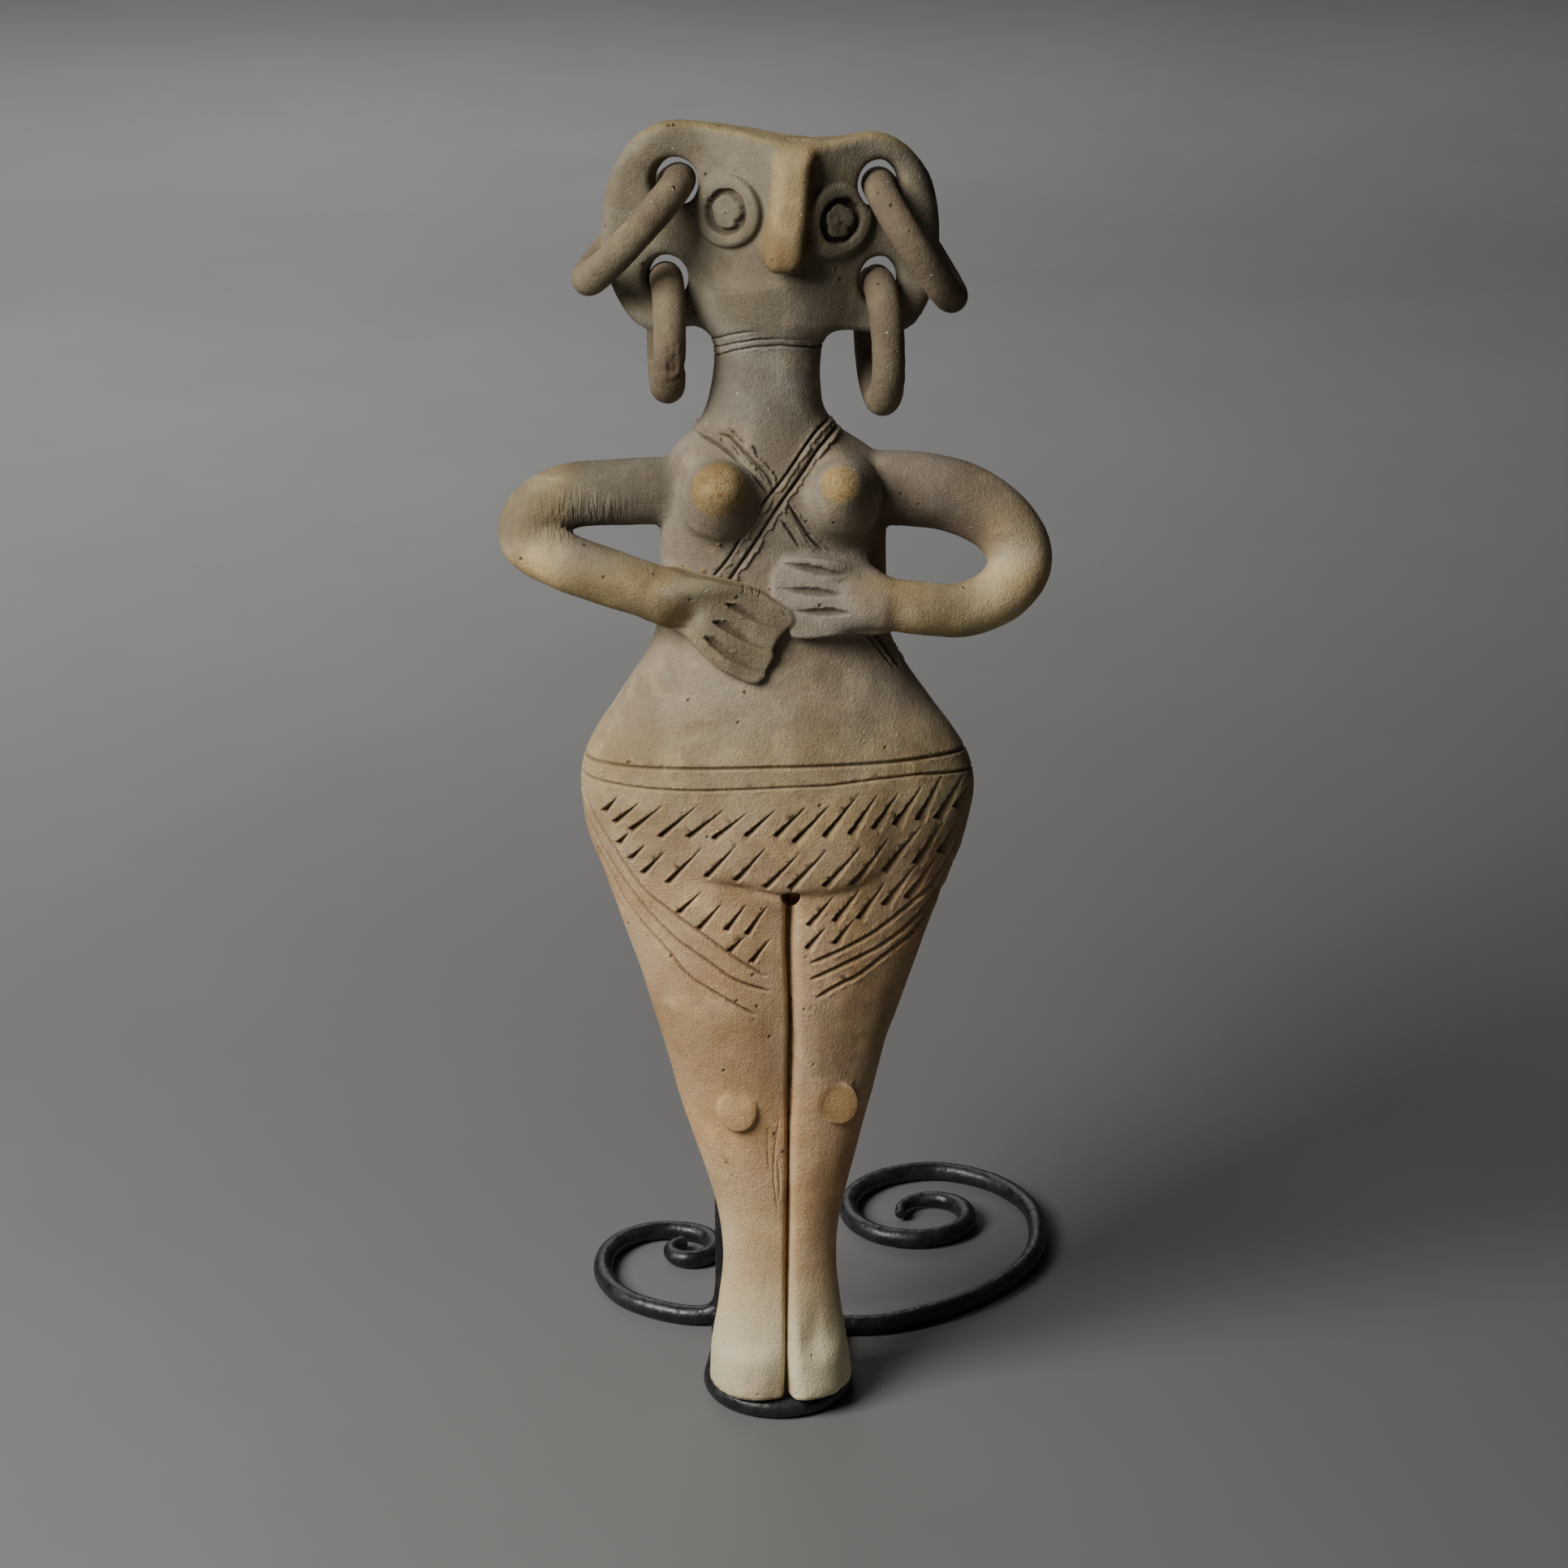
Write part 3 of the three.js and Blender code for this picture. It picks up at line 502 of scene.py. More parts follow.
def settled(form, points, passes=2):
    """Each corner moved along the form's slope to where the form is zero."""
    for _ in range(passes):
        here, slope = slope_of(form, points)
        steep = np.maximum((slope * slope).sum(1), 0.3)
        points = points - np.clip(here / steep, -0.6, 0.6)[:, None] * slope
    return points


def cut_long(points, faces, limit):
    """Every edge longer than the limit there gets a corner at its middle, and each triangle is cut
    through the new corners on its edges."""
    count = len(points)
    edges = np.sort(faces[:, [0, 1, 1, 2, 2, 0]].reshape(-1, 2), axis=1)
    key, back = np.unique(edges[:, 0] * count + edges[:, 1], return_inverse=True)
    one, two = key // count, key % count
    middle = (points[one] + points[two]) / 2
    long = np.linalg.norm(points[one] - points[two], axis=1) > limit(middle)
    new = np.full(len(key), -1)
    new[long] = count + np.arange(long.sum())
    mid = new[back.reshape(-1)].reshape(-1, 3)
    cuts = (mid >= 0).sum(1)
    out = [faces[cuts == 0]]
    f, m = faces[cuts == 3], mid[cuts == 3]
    out += [np.stack([f[:, 0], m[:, 0], m[:, 2]], 1), np.stack([m[:, 0], f[:, 1], m[:, 1]], 1),
            np.stack([m[:, 2], m[:, 1], f[:, 2]], 1), m]
    for wanted, first in ((1, lambda q: np.argmax(q >= 0, axis=1)),
                          (2, lambda q: (np.argmax(q < 0, axis=1) + 1) % 3)):
        f, m = faces[cuts == wanted], mid[cuts == wanted]
        turn = (first(m)[:, None] + [0, 1, 2]) % 3
        f, m = np.take_along_axis(f, turn, 1), np.take_along_axis(m, turn, 1)
        if wanted == 1:
            out += [np.stack([f[:, 0], m[:, 0], f[:, 2]], 1), np.stack([m[:, 0], f[:, 1], f[:, 2]], 1)]
        else:
            out += [np.stack([m[:, 0], f[:, 1], m[:, 1]], 1), np.stack([f[:, 0], m[:, 0], f[:, 2]], 1),
                    np.stack([m[:, 0], m[:, 1], f[:, 2]], 1)]
    return np.vstack([points, middle[long]]), np.vstack(out)


# Incised lines

# Each stroke: points in x and s, half widths on the side above or right of its run and on the other
# side, its depth, the height of its burr, what it is cut in, how its width changes along it and how
# wide a lip it throws up on the side above or right.
STROKES = []


def stroke(points, over, under, deep, burr=0.0, on="trunk", run="even", lip=0.0):
    line = through(points, 5) if len(points) > 2 else np.asarray(points, float)
    STROKES.append({"line": line, "over": over, "under": under, "deep": deep, "burr": burr,
                    "on": on, "run": run, "lip": lip})


def chest_strokes():
    stroke([[15.5, 293.6], [11.7, 291.2], [8.1, 287.2], [4.8, 282.6], [1.6, 278.2], [-1.8, 274],
            [-5.8, 268.3], [-9.5, 262.9], [-13.6, 255.8], [-19, 249]], 0.5, 0.5, 1.25, 0.55, lip=1.1)
    stroke([[18.5, 291.5], [15.4, 289.6], [11.3, 285.6], [8.1, 281.2], [4.4, 276.1], [1.2, 271.6],
            [-3, 265.2], [-6.2, 260.1], [-10.4, 253.9], [-14.3, 248]], 0.6, 0.55, 1.35, 0.75, lip=1.3)
    stroke([[-23.5, 290.1], [-17.7, 288.1], [-13.1, 285.3], [-9, 281.9], [-4.8, 277.7], [-2.1, 274]],
           0.45, 0.6, 1.2, 0.8, lip=1.5)
    stroke([[-16.4, 290.4], [-13.1, 289.8], [-11, 287.8], [-8.5, 285.6], [-4.8, 281.8], [-2.6, 279.4],
            [-0.9, 276.4]], 0.45, 0.6, 1.2, 1.0, lip=1.5)
    stroke([[1.4, 266.7], [3.5, 263.8], [6.7, 258.6]], 0.5, 0.6, 1.3, 0.3, lip=0.6)
    stroke([[3.7, 270.9], [7.2, 265.2], [9.9, 261], [13.6, 257.4]], 0.5, 0.65, 1.4, 0.4, lip=0.7)
    stroke([[5.6, 266.4], [8.4, 261.2], [10.4, 258.4]], 0.3, 0.3, 0.5, 0.3)
    stroke([[27, 233.6], [30.4, 228.4], [35.6, 220.8]], 0.7, 0.7, 1.2, 0.5, lip=1.2)
    stroke([[25, 232.6], [29.2, 227.2], [33.6, 221.4]], 0.35, 0.35, 0.6, 0.2)
    stroke([[-29.8, 236.6], [-32, 234.4]], 0.4, 0.4, 0.8, 0.2)
    stroke([[-28.2, 236.6], [-31, 233.6]], 0.4, 0.4, 0.8, 0.2)


def thigh_strokes():
    left = [[[-56.4, 185], [-54.2, 180.6], [-50.8, 174.6], [-44.6, 165.6], [-38.4, 157.1], [-29.8, 150.2],
             [-19.7, 142.9],
             [-11.9, 137.1], [-3.2, 131.2]],
            [[-54.4, 175.4], [-50.1, 167.8], [-44.7, 159.7], [-37.7, 150.7], [-29.1, 142.2], [-19.7, 135.6],
             [-11.9, 130.3], [-2, 126.6]],
            [[-51.8, 167.4], [-48.6, 161], [-44, 152.5], [-37.8, 144.7], [-31.5, 138.2], [-25.3, 130.8],
             [-15.8, 125],
             [-6, 119.3]]]
    right = [[[9.7, 135.6], [19.6, 139.7], [28.2, 144.2], [36.8, 150.3], [44.6, 156.4], [50, 163.8],
              [53, 170]],
             [[9.8, 130.4], [18, 134.1], [28.2, 138.6], [36.8, 143.9], [44.6, 151.3], [49.4, 159], [51, 163]],
             [[11.4, 124.7], [18, 128.4], [24.3, 131.3], [32.2, 137.1], [39.2, 142], [45.3, 149],
              [48.6, 155.4]]]
    for line in left:
        stroke(line, 0.55, 0.8, 1.25, 0.12)
    for line in right:
        stroke(line, 0.5, 1.3, 1.0, 0.12)


# Dashes in rows: x and s of the foot, then run and rise to the thin end.
DASHES = [
    (-50.4, 180.2, 4.7, 5.2), (-47.3, 177.4, 7.8, 6.8), (-42.4, 175.8, 9.9, 8.4), (-33.9, 174.6, 11.4, 10.0),
    (-25.6, 175.0, 10.5, 8.4), (-18.2, 175.0, 9.7, 7.6), (-8.9, 176.2, 8.5, 7.2), (-0.4, 176.2, 8.9, 8.0),
    (4.7, 174.2, 10.8, 10.6), (13.4, 175.8, 9.8, 11.2), (20.6, 176.2, 8.1, 10.4), (27.5, 177.4, 7.3, 9.2),
    (33.7, 177.8, 7.7, 10.0), (40.3, 178.6, 7.3, 12.0), (45.8, 178.2, 8.0, 11.2), (51.2, 180.6, 5.0, 6.4),
    (-46.2, 171.0, 3.5, 3.6), (-42.7, 166.6, 4.7, 4.8), (-39.1, 162.5, 6.5, 6.9), (-31.9, 160.1, 10.2, 11.3),
    (-20.6, 162.9, 9.3, 10.5), (-12.0, 162.5, 8.9, 10.1), (-3.6, 160.5, 10.1, 10.5), (3.5, 160.5, 10.5, 10.9),
    (13.2, 160.9, 10.8, 11.3), (21.0, 160.9, 10.8, 12.1), (30.7, 163.8, 10.8, 12.1), (39.6, 165.0, 8.8, 11.7),
    (47.0, 167.0, 5.4, 8.0),
    (-28.8, 150.8, 7.0, 6.9), (-23.0, 146.1, 7.0, 7.9), (-15.0, 146.1, 6.2, 7.9), (-9.0, 145.0, 6.2, 8.3),
    (9.0, 147.6, 7.4, 8.5), (16.4, 148.8, 8.1, 9.7), (23.4, 149.2, 7.7, 9.7), (30.8, 152.8, 9.3, 10.9),
    (37.4, 154.1, 8.9, 11.3),
    (-14.4, 139.2, 5.5, 5.1), (-7.6, 136.4, 5.5, 6.3), (8.6, 140.3, 5.4, 6.1), (16.6, 141.7, 5.6, 6.7)]


def dash_strokes():
    """Each dash was cut with a knife held aslant: a steep left wall and a sloping right one."""
    for x, s, run, rise in DASHES:
        slope = 1.7 + 0.034 * max(x + 10, 0)
        stroke([[x, s], [x + run, s + rise]], 0.4, slope, 2.4, 0.1, run="dash")


def hand_strokes():
    for line, wide in (([[-14.2, 243.0], [-9.4, 240.2], [-6.1, 238.4], [-1.2, 236.0]], 2.0),
                       ([[-17.9, 238.0], [-12.7, 234.8], [-9.4, 232.7], [-6.1, 230.8], [-3.4, 229.4]], 2.4),
                       ([[-20.6, 233.4], [-16, 229.3], [-13.3, 227.2], [-9.4, 225.2], [-3.6, 222.6]], 3.0)):
        stroke(line, wide, 0.5, 1.7, 0.25, on="left hand", run="gouge")
    for line in ([[-9.3, 248.4], [-9.6, 246.2]], [[-6.9, 247.4], [-6.6, 246.1]],
                 [[-4.6, 246.6], [-5.2, 245.4]],
                 [[1.6, 241.5], [3.4, 238.6]]):
        stroke(line, 0.3, 0.3, 0.8, 0.2, on="left hand")
    for line in ([[0.6, 254.6], [5.8, 253.9], [12.2, 252.7], [19.6, 251.2]],
                 [[0.0, 247.4], [5.8, 247.1], [13.2, 246.5], [19.2, 245.9]],
                 [[4.6, 241.2], [9.5, 241.0], [15.9, 241.0], [21.2, 240.5]]):
        stroke(line, 1.45, 1.55, 1.25, 0.0, on="right hand", run="lens")


def leg_cracks():
    """Hair cracks where the left leg was pressed beside the parting, and small drag marks."""
    for line in ([[0.8, 86], [-0.4, 78], [-0.9, 68], [0.2, 57]], [[-2.6, 83], [-2.6, 74], [-2.0, 69]],
                 [[0.2, 73], [0.8, 66], [0.6, 60]], [[8.6, 120], [10.6, 121.4]],
                 [[-17.5, 74], [-15.6, 72.6], [-13.6, 73.2]]):
        stroke(line, 0.25, 0.3, 0.32, 0.1)


chest_strokes()
leg_cracks()
thigh_strokes()
dash_strokes()
hand_strokes()

# Lines that run right round: heights along the front by x, and how far they are cut.
ROUND_LINES = [
    ([-56, -48.5, -40.5, -28.8, -2.4, 17.8, 33.4, 45.2, 56],
     [194.1, 194.3, 194.4, 194.8, 195.7, 195.9, 195.9, 196.1, 195.9], 0.75, 0.95),
    ([-56, -50.1, -36.6, -21, 2.2, 13.9, 29.5, 41.3, 57],
     [189.2, 188.9, 188.5, 188.7, 189.8, 190.1, 191.4, 191.6, 190], 0.6, 0.85),
    ([-17.8, -13.9, -9.3, -3.1, 3, 9.1, 13.8], [316.6, 318.3, 319.5, 320.1, 320.0, 319.5, 319.0], 0.45, 0.75),
    ([-17.8, -12.3, -6.2, 1.5, 7.6, 13.6], [314.0, 316.0, 317.4, 317.8, 317.2, 316.6], 0.45, 0.75),
    ([-17.6, -12.3, -6.2, 1.5, 7.6, 13], [311.4, 313.9, 315.3, 315.7, 315.0, 314.2], 0.5, 0.8)]


def stroke_places(points, cut):
    """For the points near a stroke: which they are, how far along it from 0 to 1, how far past an end,
    and how far to its side, positive above or right of the run."""
    line, reach = cut["line"], max(cut["over"], cut["under"]) + 2.6
    low, high = line.min(0) - reach, line.max(0) + reach
    flat = points[:, [0, 2]]
    near = np.flatnonzero(((flat > low) & (flat < high)).all(1) & (points[:, 1] < 2))
    start, side = line[:-1], line[1:] - line[:-1]
    long = np.linalg.norm(side, axis=1)
    off = flat[near][:, None, :] - start
    along = (off * side).sum(2) / long
    held = np.clip(along, 0, long)
    aside = (off[..., 1] * side[:, 0] - off[..., 0] * side[:, 1]) / long
    gap = np.hypot(along - held, aside)
    best = gap.argmin(1)
    pick = np.arange(len(near)), best
    ahead = np.concatenate([[0], np.cumsum(long)])[best] + held[pick]
    past = np.abs(along - held)[pick]
    return near, ahead / long.sum(), past, aside[pick], long.sum()


def stroke_shape(cut, along, long):
    """How wide and how deep a stroke is along its run."""
    if cut["run"] == "dash":
        wide = 0.16 + 0.84 * np.clip(1 - along, 0, 1)**1.15
        return wide, 0.12 + 0.88 * (1 - along)**0.8
    if cut["run"] == "gouge":
        wide = (0.45 + 0.55 * eased(0, 0.16, along)) * (1 - 0.7 * eased(0.45, 1, along))
        return wide, (0.5 + 0.5 * eased(0, 0.06, along)) * (1 - 0.8 * along**1.3)
    if cut["run"] == "lens":
        bow = np.clip(np.sin(np.pi * along**1.25), 0, 1)**0.8
        return 0.12 + 0.88 * bow, 0.1 + 0.9 * bow
    ends = np.clip(np.minimum(along, 1 - along) * long / 2.5, 0, 1)**0.7
    return 0.5 + 0.5 * ends, 0.25 + 0.75 * ends


def round_line(x, d, at, height):
    """The height of a line that runs right round: followed in front, and level to its ends behind."""
    behind = np.interp(x, [at[0], at[-1]], [height[0], height[-1]])
    return np.where(d < 0, np.interp(x, at, height), behind)


# The drawn-up strips between the paired lines of the chest bands.
STRIPS = [([[17, 292.6], [9.7, 286.6], [3, 277.4], [-4.4, 266.6], [-12, 254.9], [-16.8, 248.2]], 1.2, 0.2),
          ([[2.6, 268.8], [5.4, 264.4], [10, 258]], 1.3, 0.3)]


def strip_height(points):
    rise = np.zeros(len(points))
    for line, half, high in STRIPS:
        strip = {"line": through(line, 5), "over": half, "under": half}
        near, _, past, aside, _ = stroke_places(points, strip)
        shape = np.clip(1 - (aside / half)**2, 0, 1)**0.5 * np.clip(1 - past, 0, 1)
        rise[near] = np.maximum(rise[near], high * shape * (1 + 0.5 * clumps(points[near], 2.0, 71)))
    return rise


def where_cut(points):
    """Which surface a corner lies on: how surely it is the trunk's skin or the front of a hand."""
    body = np.abs(cleft(points, trunk(points)))
    trunk_skin = eased(1.0, 0.35, body)
    left = eased(0.9, 0.3, np.abs(only_near(points, [-48, -40, 208], [16, -14, 262], left_hand)))
    right = eased(0.9, 0.3, np.abs(only_near(points, [-12, -40, 222], [44, -14, 268], right_hand)))
    return {"trunk": trunk_skin * (1 - left) * (1 - right), "left hand": left,
            "right hand": right * (1 - left)}


def carving(points):
    """The depth of every incised line at each corner, the height of the burr pushed up beside it, and
    how dark the cut is."""
    depth, burr = np.zeros(len(points)), np.zeros(len(points))
    lies = where_cut(points)
    rough = clumps(points, 0.9, 1)
    ragged = np.clip(0.35 + 1.6 * clumps(points, 1.8, 2) + 0.5 * clumps(points, 0.6, 3), 0, 1.8)
    tears = clumps(points, 2.4, 8) + 0.7 * clumps(points, 0.95, 9)
    for cut in STROKES:
        near, along, past, aside, long = stroke_places(points, cut)
        wide, deep = stroke_shape(cut, along, long)
        half = np.where(aside > 0, cut["over"], cut["under"]) * wide
        half = half * (1 + 0.18 * rough[near])
        open_end = np.clip(1 - past / 0.45, 0, 1)
        on = lies[cut["on"]][near] * open_end
        wall = np.clip(1 - np.abs(aside) / half, 0, 1)
        if cut["run"] == "dash":
            steep = np.clip(1 - np.abs(aside) / np.minimum(half, 1.75 * wide), 0, 1)
            wall = np.where(aside > 0, wall, np.maximum(steep, 0.4 * wall**0.8))
        if cut["run"] == "lens":
            wall = np.clip(1 - (aside / half)**2, 0, 1)
        depth[near] = np.maximum(depth[near], on * cut["deep"] * deep * wall**0.9)
        lip = np.exp(-((np.abs(aside) - half - 0.3) / 0.3)**2) * ragged[near] * (0.35 if cut["lip"] else 1)
        if cut["lip"]:
            edge = cut["lip"] * (0.8 + 0.45 * tears[near])
            over = aside - half
            thrown = eased(edge + 0.14, edge, over) * (0.45 + 0.55 * eased(0, 0.7 * edge, over)) * (over > 0)
            lip = np.maximum(lip, thrown * (0.8 + 0.35 * tears[near]))
        lip = lip * lies[cut["on"]][near] * np.exp(-(past / 0.6)**2) * cut["burr"] * deep**0.5
        burr[near] = np.maximum(burr[near], lip)
    for at, height, half, deep in ROUND_LINES:
        x, d, s = points.T
        line = round_line(x, d, at, height)
        gap = np.abs(s - line)
        wall = np.clip(1 - gap / (half * (1 + 0.12 * rough)), 0, 1)
        depth = np.maximum(depth, lies["trunk"] * deep * wall**0.9)
        burr = np.maximum(burr, 0.12 * lies["trunk"] * ragged * np.exp(-((gap - half - 0.2) / 0.3)**2))
    return depth, burr * (depth < 0.05)


def fine_limit(points, step):
    """The longest edge allowed at a place: short beside incised lines, middling on the face, hands,
    knees and ear holes, and long elsewhere."""
    x, d, s = points.T
    limit = np.full(len(points), 2.6)
    face = (s > 330) & (s < 376) & (d < 2) & (np.abs(x - 2) < 28)
    hands = (s > 216) & (s < 260) & (np.abs(x + 2) < 36) & (d < -12)
    limit[face | hands] = 0.95
    for hole_x, hole_s, radius in EAR_HOLES:
        limit[np.abs(np.hypot(x - hole_x, s - hole_s) - radius) < 2.2] = 1.2
    for place in KNEES:
        limit[(np.abs(np.hypot(x - place[0], s - place[1]) - place[2]) < 1.3) & (d < 0)] = 0.7
    for place in EYES:
        near = np.hypot((x - place[0]) / 0.84, s - place[1])
        limit[(near < 11.5) & (d < 0)] = 0.8
        limit[(near > 4.0) & (near < 7.8) & (d < 0)] = 0.45
    limit[(np.abs(x - 4) < 5) & (s < 160) & (d < 0)] = 1.2
    limit[(np.abs(x - np.interp(s, CLEFT_HEIGHTS, CLEFT_X)) < 1.5) & (s < 158) & (d < 0)] = 0.55
    limit[(np.hypot(x - 4.1, s - 156.4) < 4.5) & (d < 0)] = 0.6
    for at, height, half, _ in ROUND_LINES:
        close = np.abs(s - round_line(x, d, at, height)) < half + 0.7 + step
        limit[close] = np.where(d[close] < 2, 0.5, 0.8)
    for cut in STROKES:
        near, _, past, aside, _ = stroke_places(points, cut)
        half = np.where(aside > 0, cut["over"], cut["under"])
        close = (np.abs(aside) < half + 0.7 + step) & (past < 0.8 + step)
        limit[near[close]] = np.minimum(limit[near[close]], 0.42)
        torn = (aside > 0) & (aside < half + 1.5 * cut["lip"] + step * 0.5) & (past < 0.6) & (cut["lip"] > 0)
        limit[near[torn]] = 0.3
    for place in CRUMBS:
        limit[(np.hypot(x - place[0], s - place[1]) < place[2] + 0.6 + step) & (d < -10)] = 0.36
    return limit


# Crumbs of red-brown clay stuck on the front: x, s and radius.
CRUMBS = [(-16.4, 260.0, 0.55), (-20.8, 251.6, 0.8), (-2.1, 247.3, 0.5), (-9.6, 217.6, 0.45),
          (31.5, 288.6, 0.5),
          (-27.0, 252.4, 0.4)]


def crumbs(points):
    """How much a corner belongs to a crumb."""
    share = np.zeros(len(points))
    for x, s, radius in CRUMBS:
        reach = np.hypot(points[:, 0] - x, points[:, 2] - s) / radius
        share = np.maximum(share, np.clip(1.3 - reach, 0, 1) * (points[:, 1] < -10))
    return share


def relief(points):
    """Low unevenness of a hand-worked skin: soft dents, the overhang of the belly and the hollow of
    the right foot."""
    x, d, s = points.T
    front = eased(2, -6, d)
    soft = (0.30 * clumps(points, 17, 4) + 0.18 * clumps(points, [6, 6, 12], 5)
            + 0.06 * clumps(points, 3.2, 6))
    dents = 0.35 * clumps(points * [1, 1, 0.45], 9, 7) * eased(196, 204, s) * eased(232, 222, s) * front
    fold = np.interp(x, [-21, -14, -5.5, 0.7, 8.5, 16.3, 24, 31],
                     [160.9, 160.4, 158.5, 157.3, 157.3, 157.5, 159.3, 162.6])
    under = s - fold
    ends = eased(-27, -8, x) * eased(36, 20, x) * front
    roll = np.sqrt(np.clip(1 - (1 - np.clip(under / 6, 0, 1))**2, 0, 1)) * eased(32, 7, under) * (under > 0)
    belly = ends * (2.2 * roll - 0.3 * np.exp(-(under / 1.6)**2))
    foot = -0.8 * np.exp(-((x - 10.4 - 0.05 * s) / 2.0)**2 - ((s - 18) / 9)**2) * front
    foot = foot + 0.7 * np.exp(-((x - 6.4) / 1.3)**2 - ((s - 14) / 12)**2) * front
    return soft + dents + belly + foot + 0.7 * crumbs(points)


def legs_rounded(points):
    """How far the front of each leg falls back towards the parting, as on two round coils."""
    x, d, s = points.T
    line = np.interp(s, CLEFT_HEIGHTS, CLEFT_X)
    fall = np.interp(s, [5, 30, 60, 150], [0.3, 1.0, 1.7, 2.3]) * eased(158, 148, s) * eased(0, -6, d)
    reach = np.interp(s, [10, 60, 110, 150], [6, 8, 9.5, 10.5])
    return fall * np.where(x < line, np.exp(-((x - line) / 8.5)**2), np.clip(1 - (x - line) / reach, 0, 1)**2)


def toes_forward(points):
    """How far the two feet stand forward of the shins at the floor."""
    x, d, s = points.T
    lobes = np.exp(-((x + 8.6) / 8.2)**4) + np.exp(-((x - 12.6) / 7.4)**4)
    return 2.6 * lobes * eased(17, 9, s) * eased(0, -8, d)


NET = 1.6


def figure_surface():
    """The figure's skin: a net over the whole form, cut finer where there is detail, then carved."""
    points, faces = skin_of(figure_form, [-85, -34, -4], [84, 30, 382], NET)
    points = settled(figure_form, points)
    for step in (1.4, 0.6, 0.3, 0.15):
        before = len(points)
        points, faces = cut_long(points, faces, lambda middle: fine_limit(middle, step))
        points[before:] = settled(figure_form, points[before:])
    _, slope = slope_of(figure_form, points)
    normal = slope / np.maximum(np.linalg.norm(slope, axis=1), 1e-6)[:, None]
    depth, burr = carving(points)
    eyes = eye_cut(points)
    high = relief(points) + burr + strip_height(points) * where_cut(points)["trunk"]
    moved = points + normal * (high - depth - eyes)[:, None]
    moved[:, 1] += slit(points) + legs_rounded(points) - toes_forward(points)
    return moved, faces, points, normal, np.maximum(depth, 0.6 * eyes)


# Meshes

def piece_from(name, points, faces, material, node=None):
    """A mesh from arrays of corners in millimetres and faces, in its place in the scene."""
    mesh = bpy.data.meshes.new(name)
    sides = faces.shape[1]
    mesh.vertices.add(len(points))
    mesh.vertices.foreach_set("co", (points * MM).astype(np.float32).ravel())
    mesh.loops.add(faces.size)
    mesh.loops.foreach_set("vertex_index", faces.astype(np.int32).ravel())
    mesh.polygons.add(len(faces))
    mesh.polygons.foreach_set("loop_start", np.arange(0, faces.size, sides, dtype=np.int32))
    mesh.polygons.foreach_set("use_smooth", np.ones(len(faces), dtype=bool))
    mesh.update(calc_edges=True)
    mesh.validate()
    mesh.materials.append(material)
    piece = bpy.data.objects.new(name, mesh)
    bpy.context.scene.collection.objects.link(piece)
    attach(piece, "root")
    if node:
        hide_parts(node)
    return piece


def paint(piece, name, channels):
    """A colour attribute on the corners of a mesh, from four arrays of 0 to 1."""
    layer = piece.data.color_attributes.new(name, "FLOAT_COLOR", "POINT")
    layer.data.foreach_set("color", np.clip(np.stack(channels, 1), 0, 1).astype(np.float32).ravel())


def ring_faces(rows, columns, closed):
    """Four-sided faces between the rows of a grid whose columns run round; closed joins the last row
    to the first."""
    i = np.arange(rows if closed else rows - 1)[:, None]
    j = np.arange(columns)[None]
    ahead, beside = (i + 1) % rows, (j + 1) % columns
    return np.stack([i * columns + j, i * columns + beside, ahead * columns + beside, ahead * columns + j],
                    -1).reshape(-1, 4)


# Ear rings

RING_TUBE = 4.8
RING_STEPS = 260
TUBE_STEPS = 64
EAR_RINGS = [
    ("ear_ring_upper_left", [-40.6, 1.4, 346.8], (-0.68, -0.734), 0, 19.2, 2.6, 1),
    ("ear_ring_lower_left", [-31.4, 1.0, 317.1], (0.0, -1.0), 5, 15.5, -1.2, 2),
    ("ear_ring_upper_right", [39.2, 1.4, 343.6], (0.55, -0.835), 0, 19.1, 2.2, 3),
    ("ear_ring_lower_right", [29.2, 1.0, 315.0], (0.04, -1.0), 8, 17.0, 3.0, 4)]


def ring_surface(centre, hang, yaw, radius, seam, seed):
    """A coil bent to a ring: a circle of a circle, its radius uneven along the roll, with a pressed
    and torn seam where its ends meet."""
    yaw = np.radians(yaw)
    down = np.array([hang[0], 0, hang[1]])
    cross = np.array([np.sin(yaw) * hang[1], np.cos(yaw), -np.sin(yaw) * hang[0]])
    flat = np.cross(down, cross)
    turn, round_ = np.meshgrid(np.arange(RING_STEPS) * 2 * np.pi / RING_STEPS,
                               np.arange(TUBE_STEPS) * 2 * np.pi / TUBE_STEPS, indexing="ij")
    out = np.cos(turn)[..., None] * down + np.sin(turn)[..., None] * cross
    place = (out * radius + np.cos(round_)[..., None] * out * RING_TUBE
             + np.sin(round_)[..., None] * flat * RING_TUBE)
    roll = (0.16 * clumps(place * 0.8, 9, seed) + 0.07 * clumps(place, 2.6, seed + 1)
            + 0.03 * clumps(place, 1.0, seed + 2))
    off = np.abs((turn - seam + np.pi) % (2 * np.pi) - np.pi) * radius
    torn = np.exp(-(off / 5.5)**2) * np.clip(0.35 + np.cos(round_ - 0.4), 0, 1)
    roll = roll - torn * (0.28 + 0.75 * np.clip(clumps(place, [1.6, 1.6, 3.4], seed + 3), -0.2, 1))
    thick = RING_TUBE - 0.1 + roll
    place = (np.array(centre) + out * radius + np.cos(round_)[..., None] * out * thick[..., None]
             + np.sin(round_)[..., None] * flat * thick[..., None])
    return place.reshape(-1, 3), torn.ravel()


# The stand

ROD = 6.0
REST_HEIGHT = 218.0
POST_X = -16.2


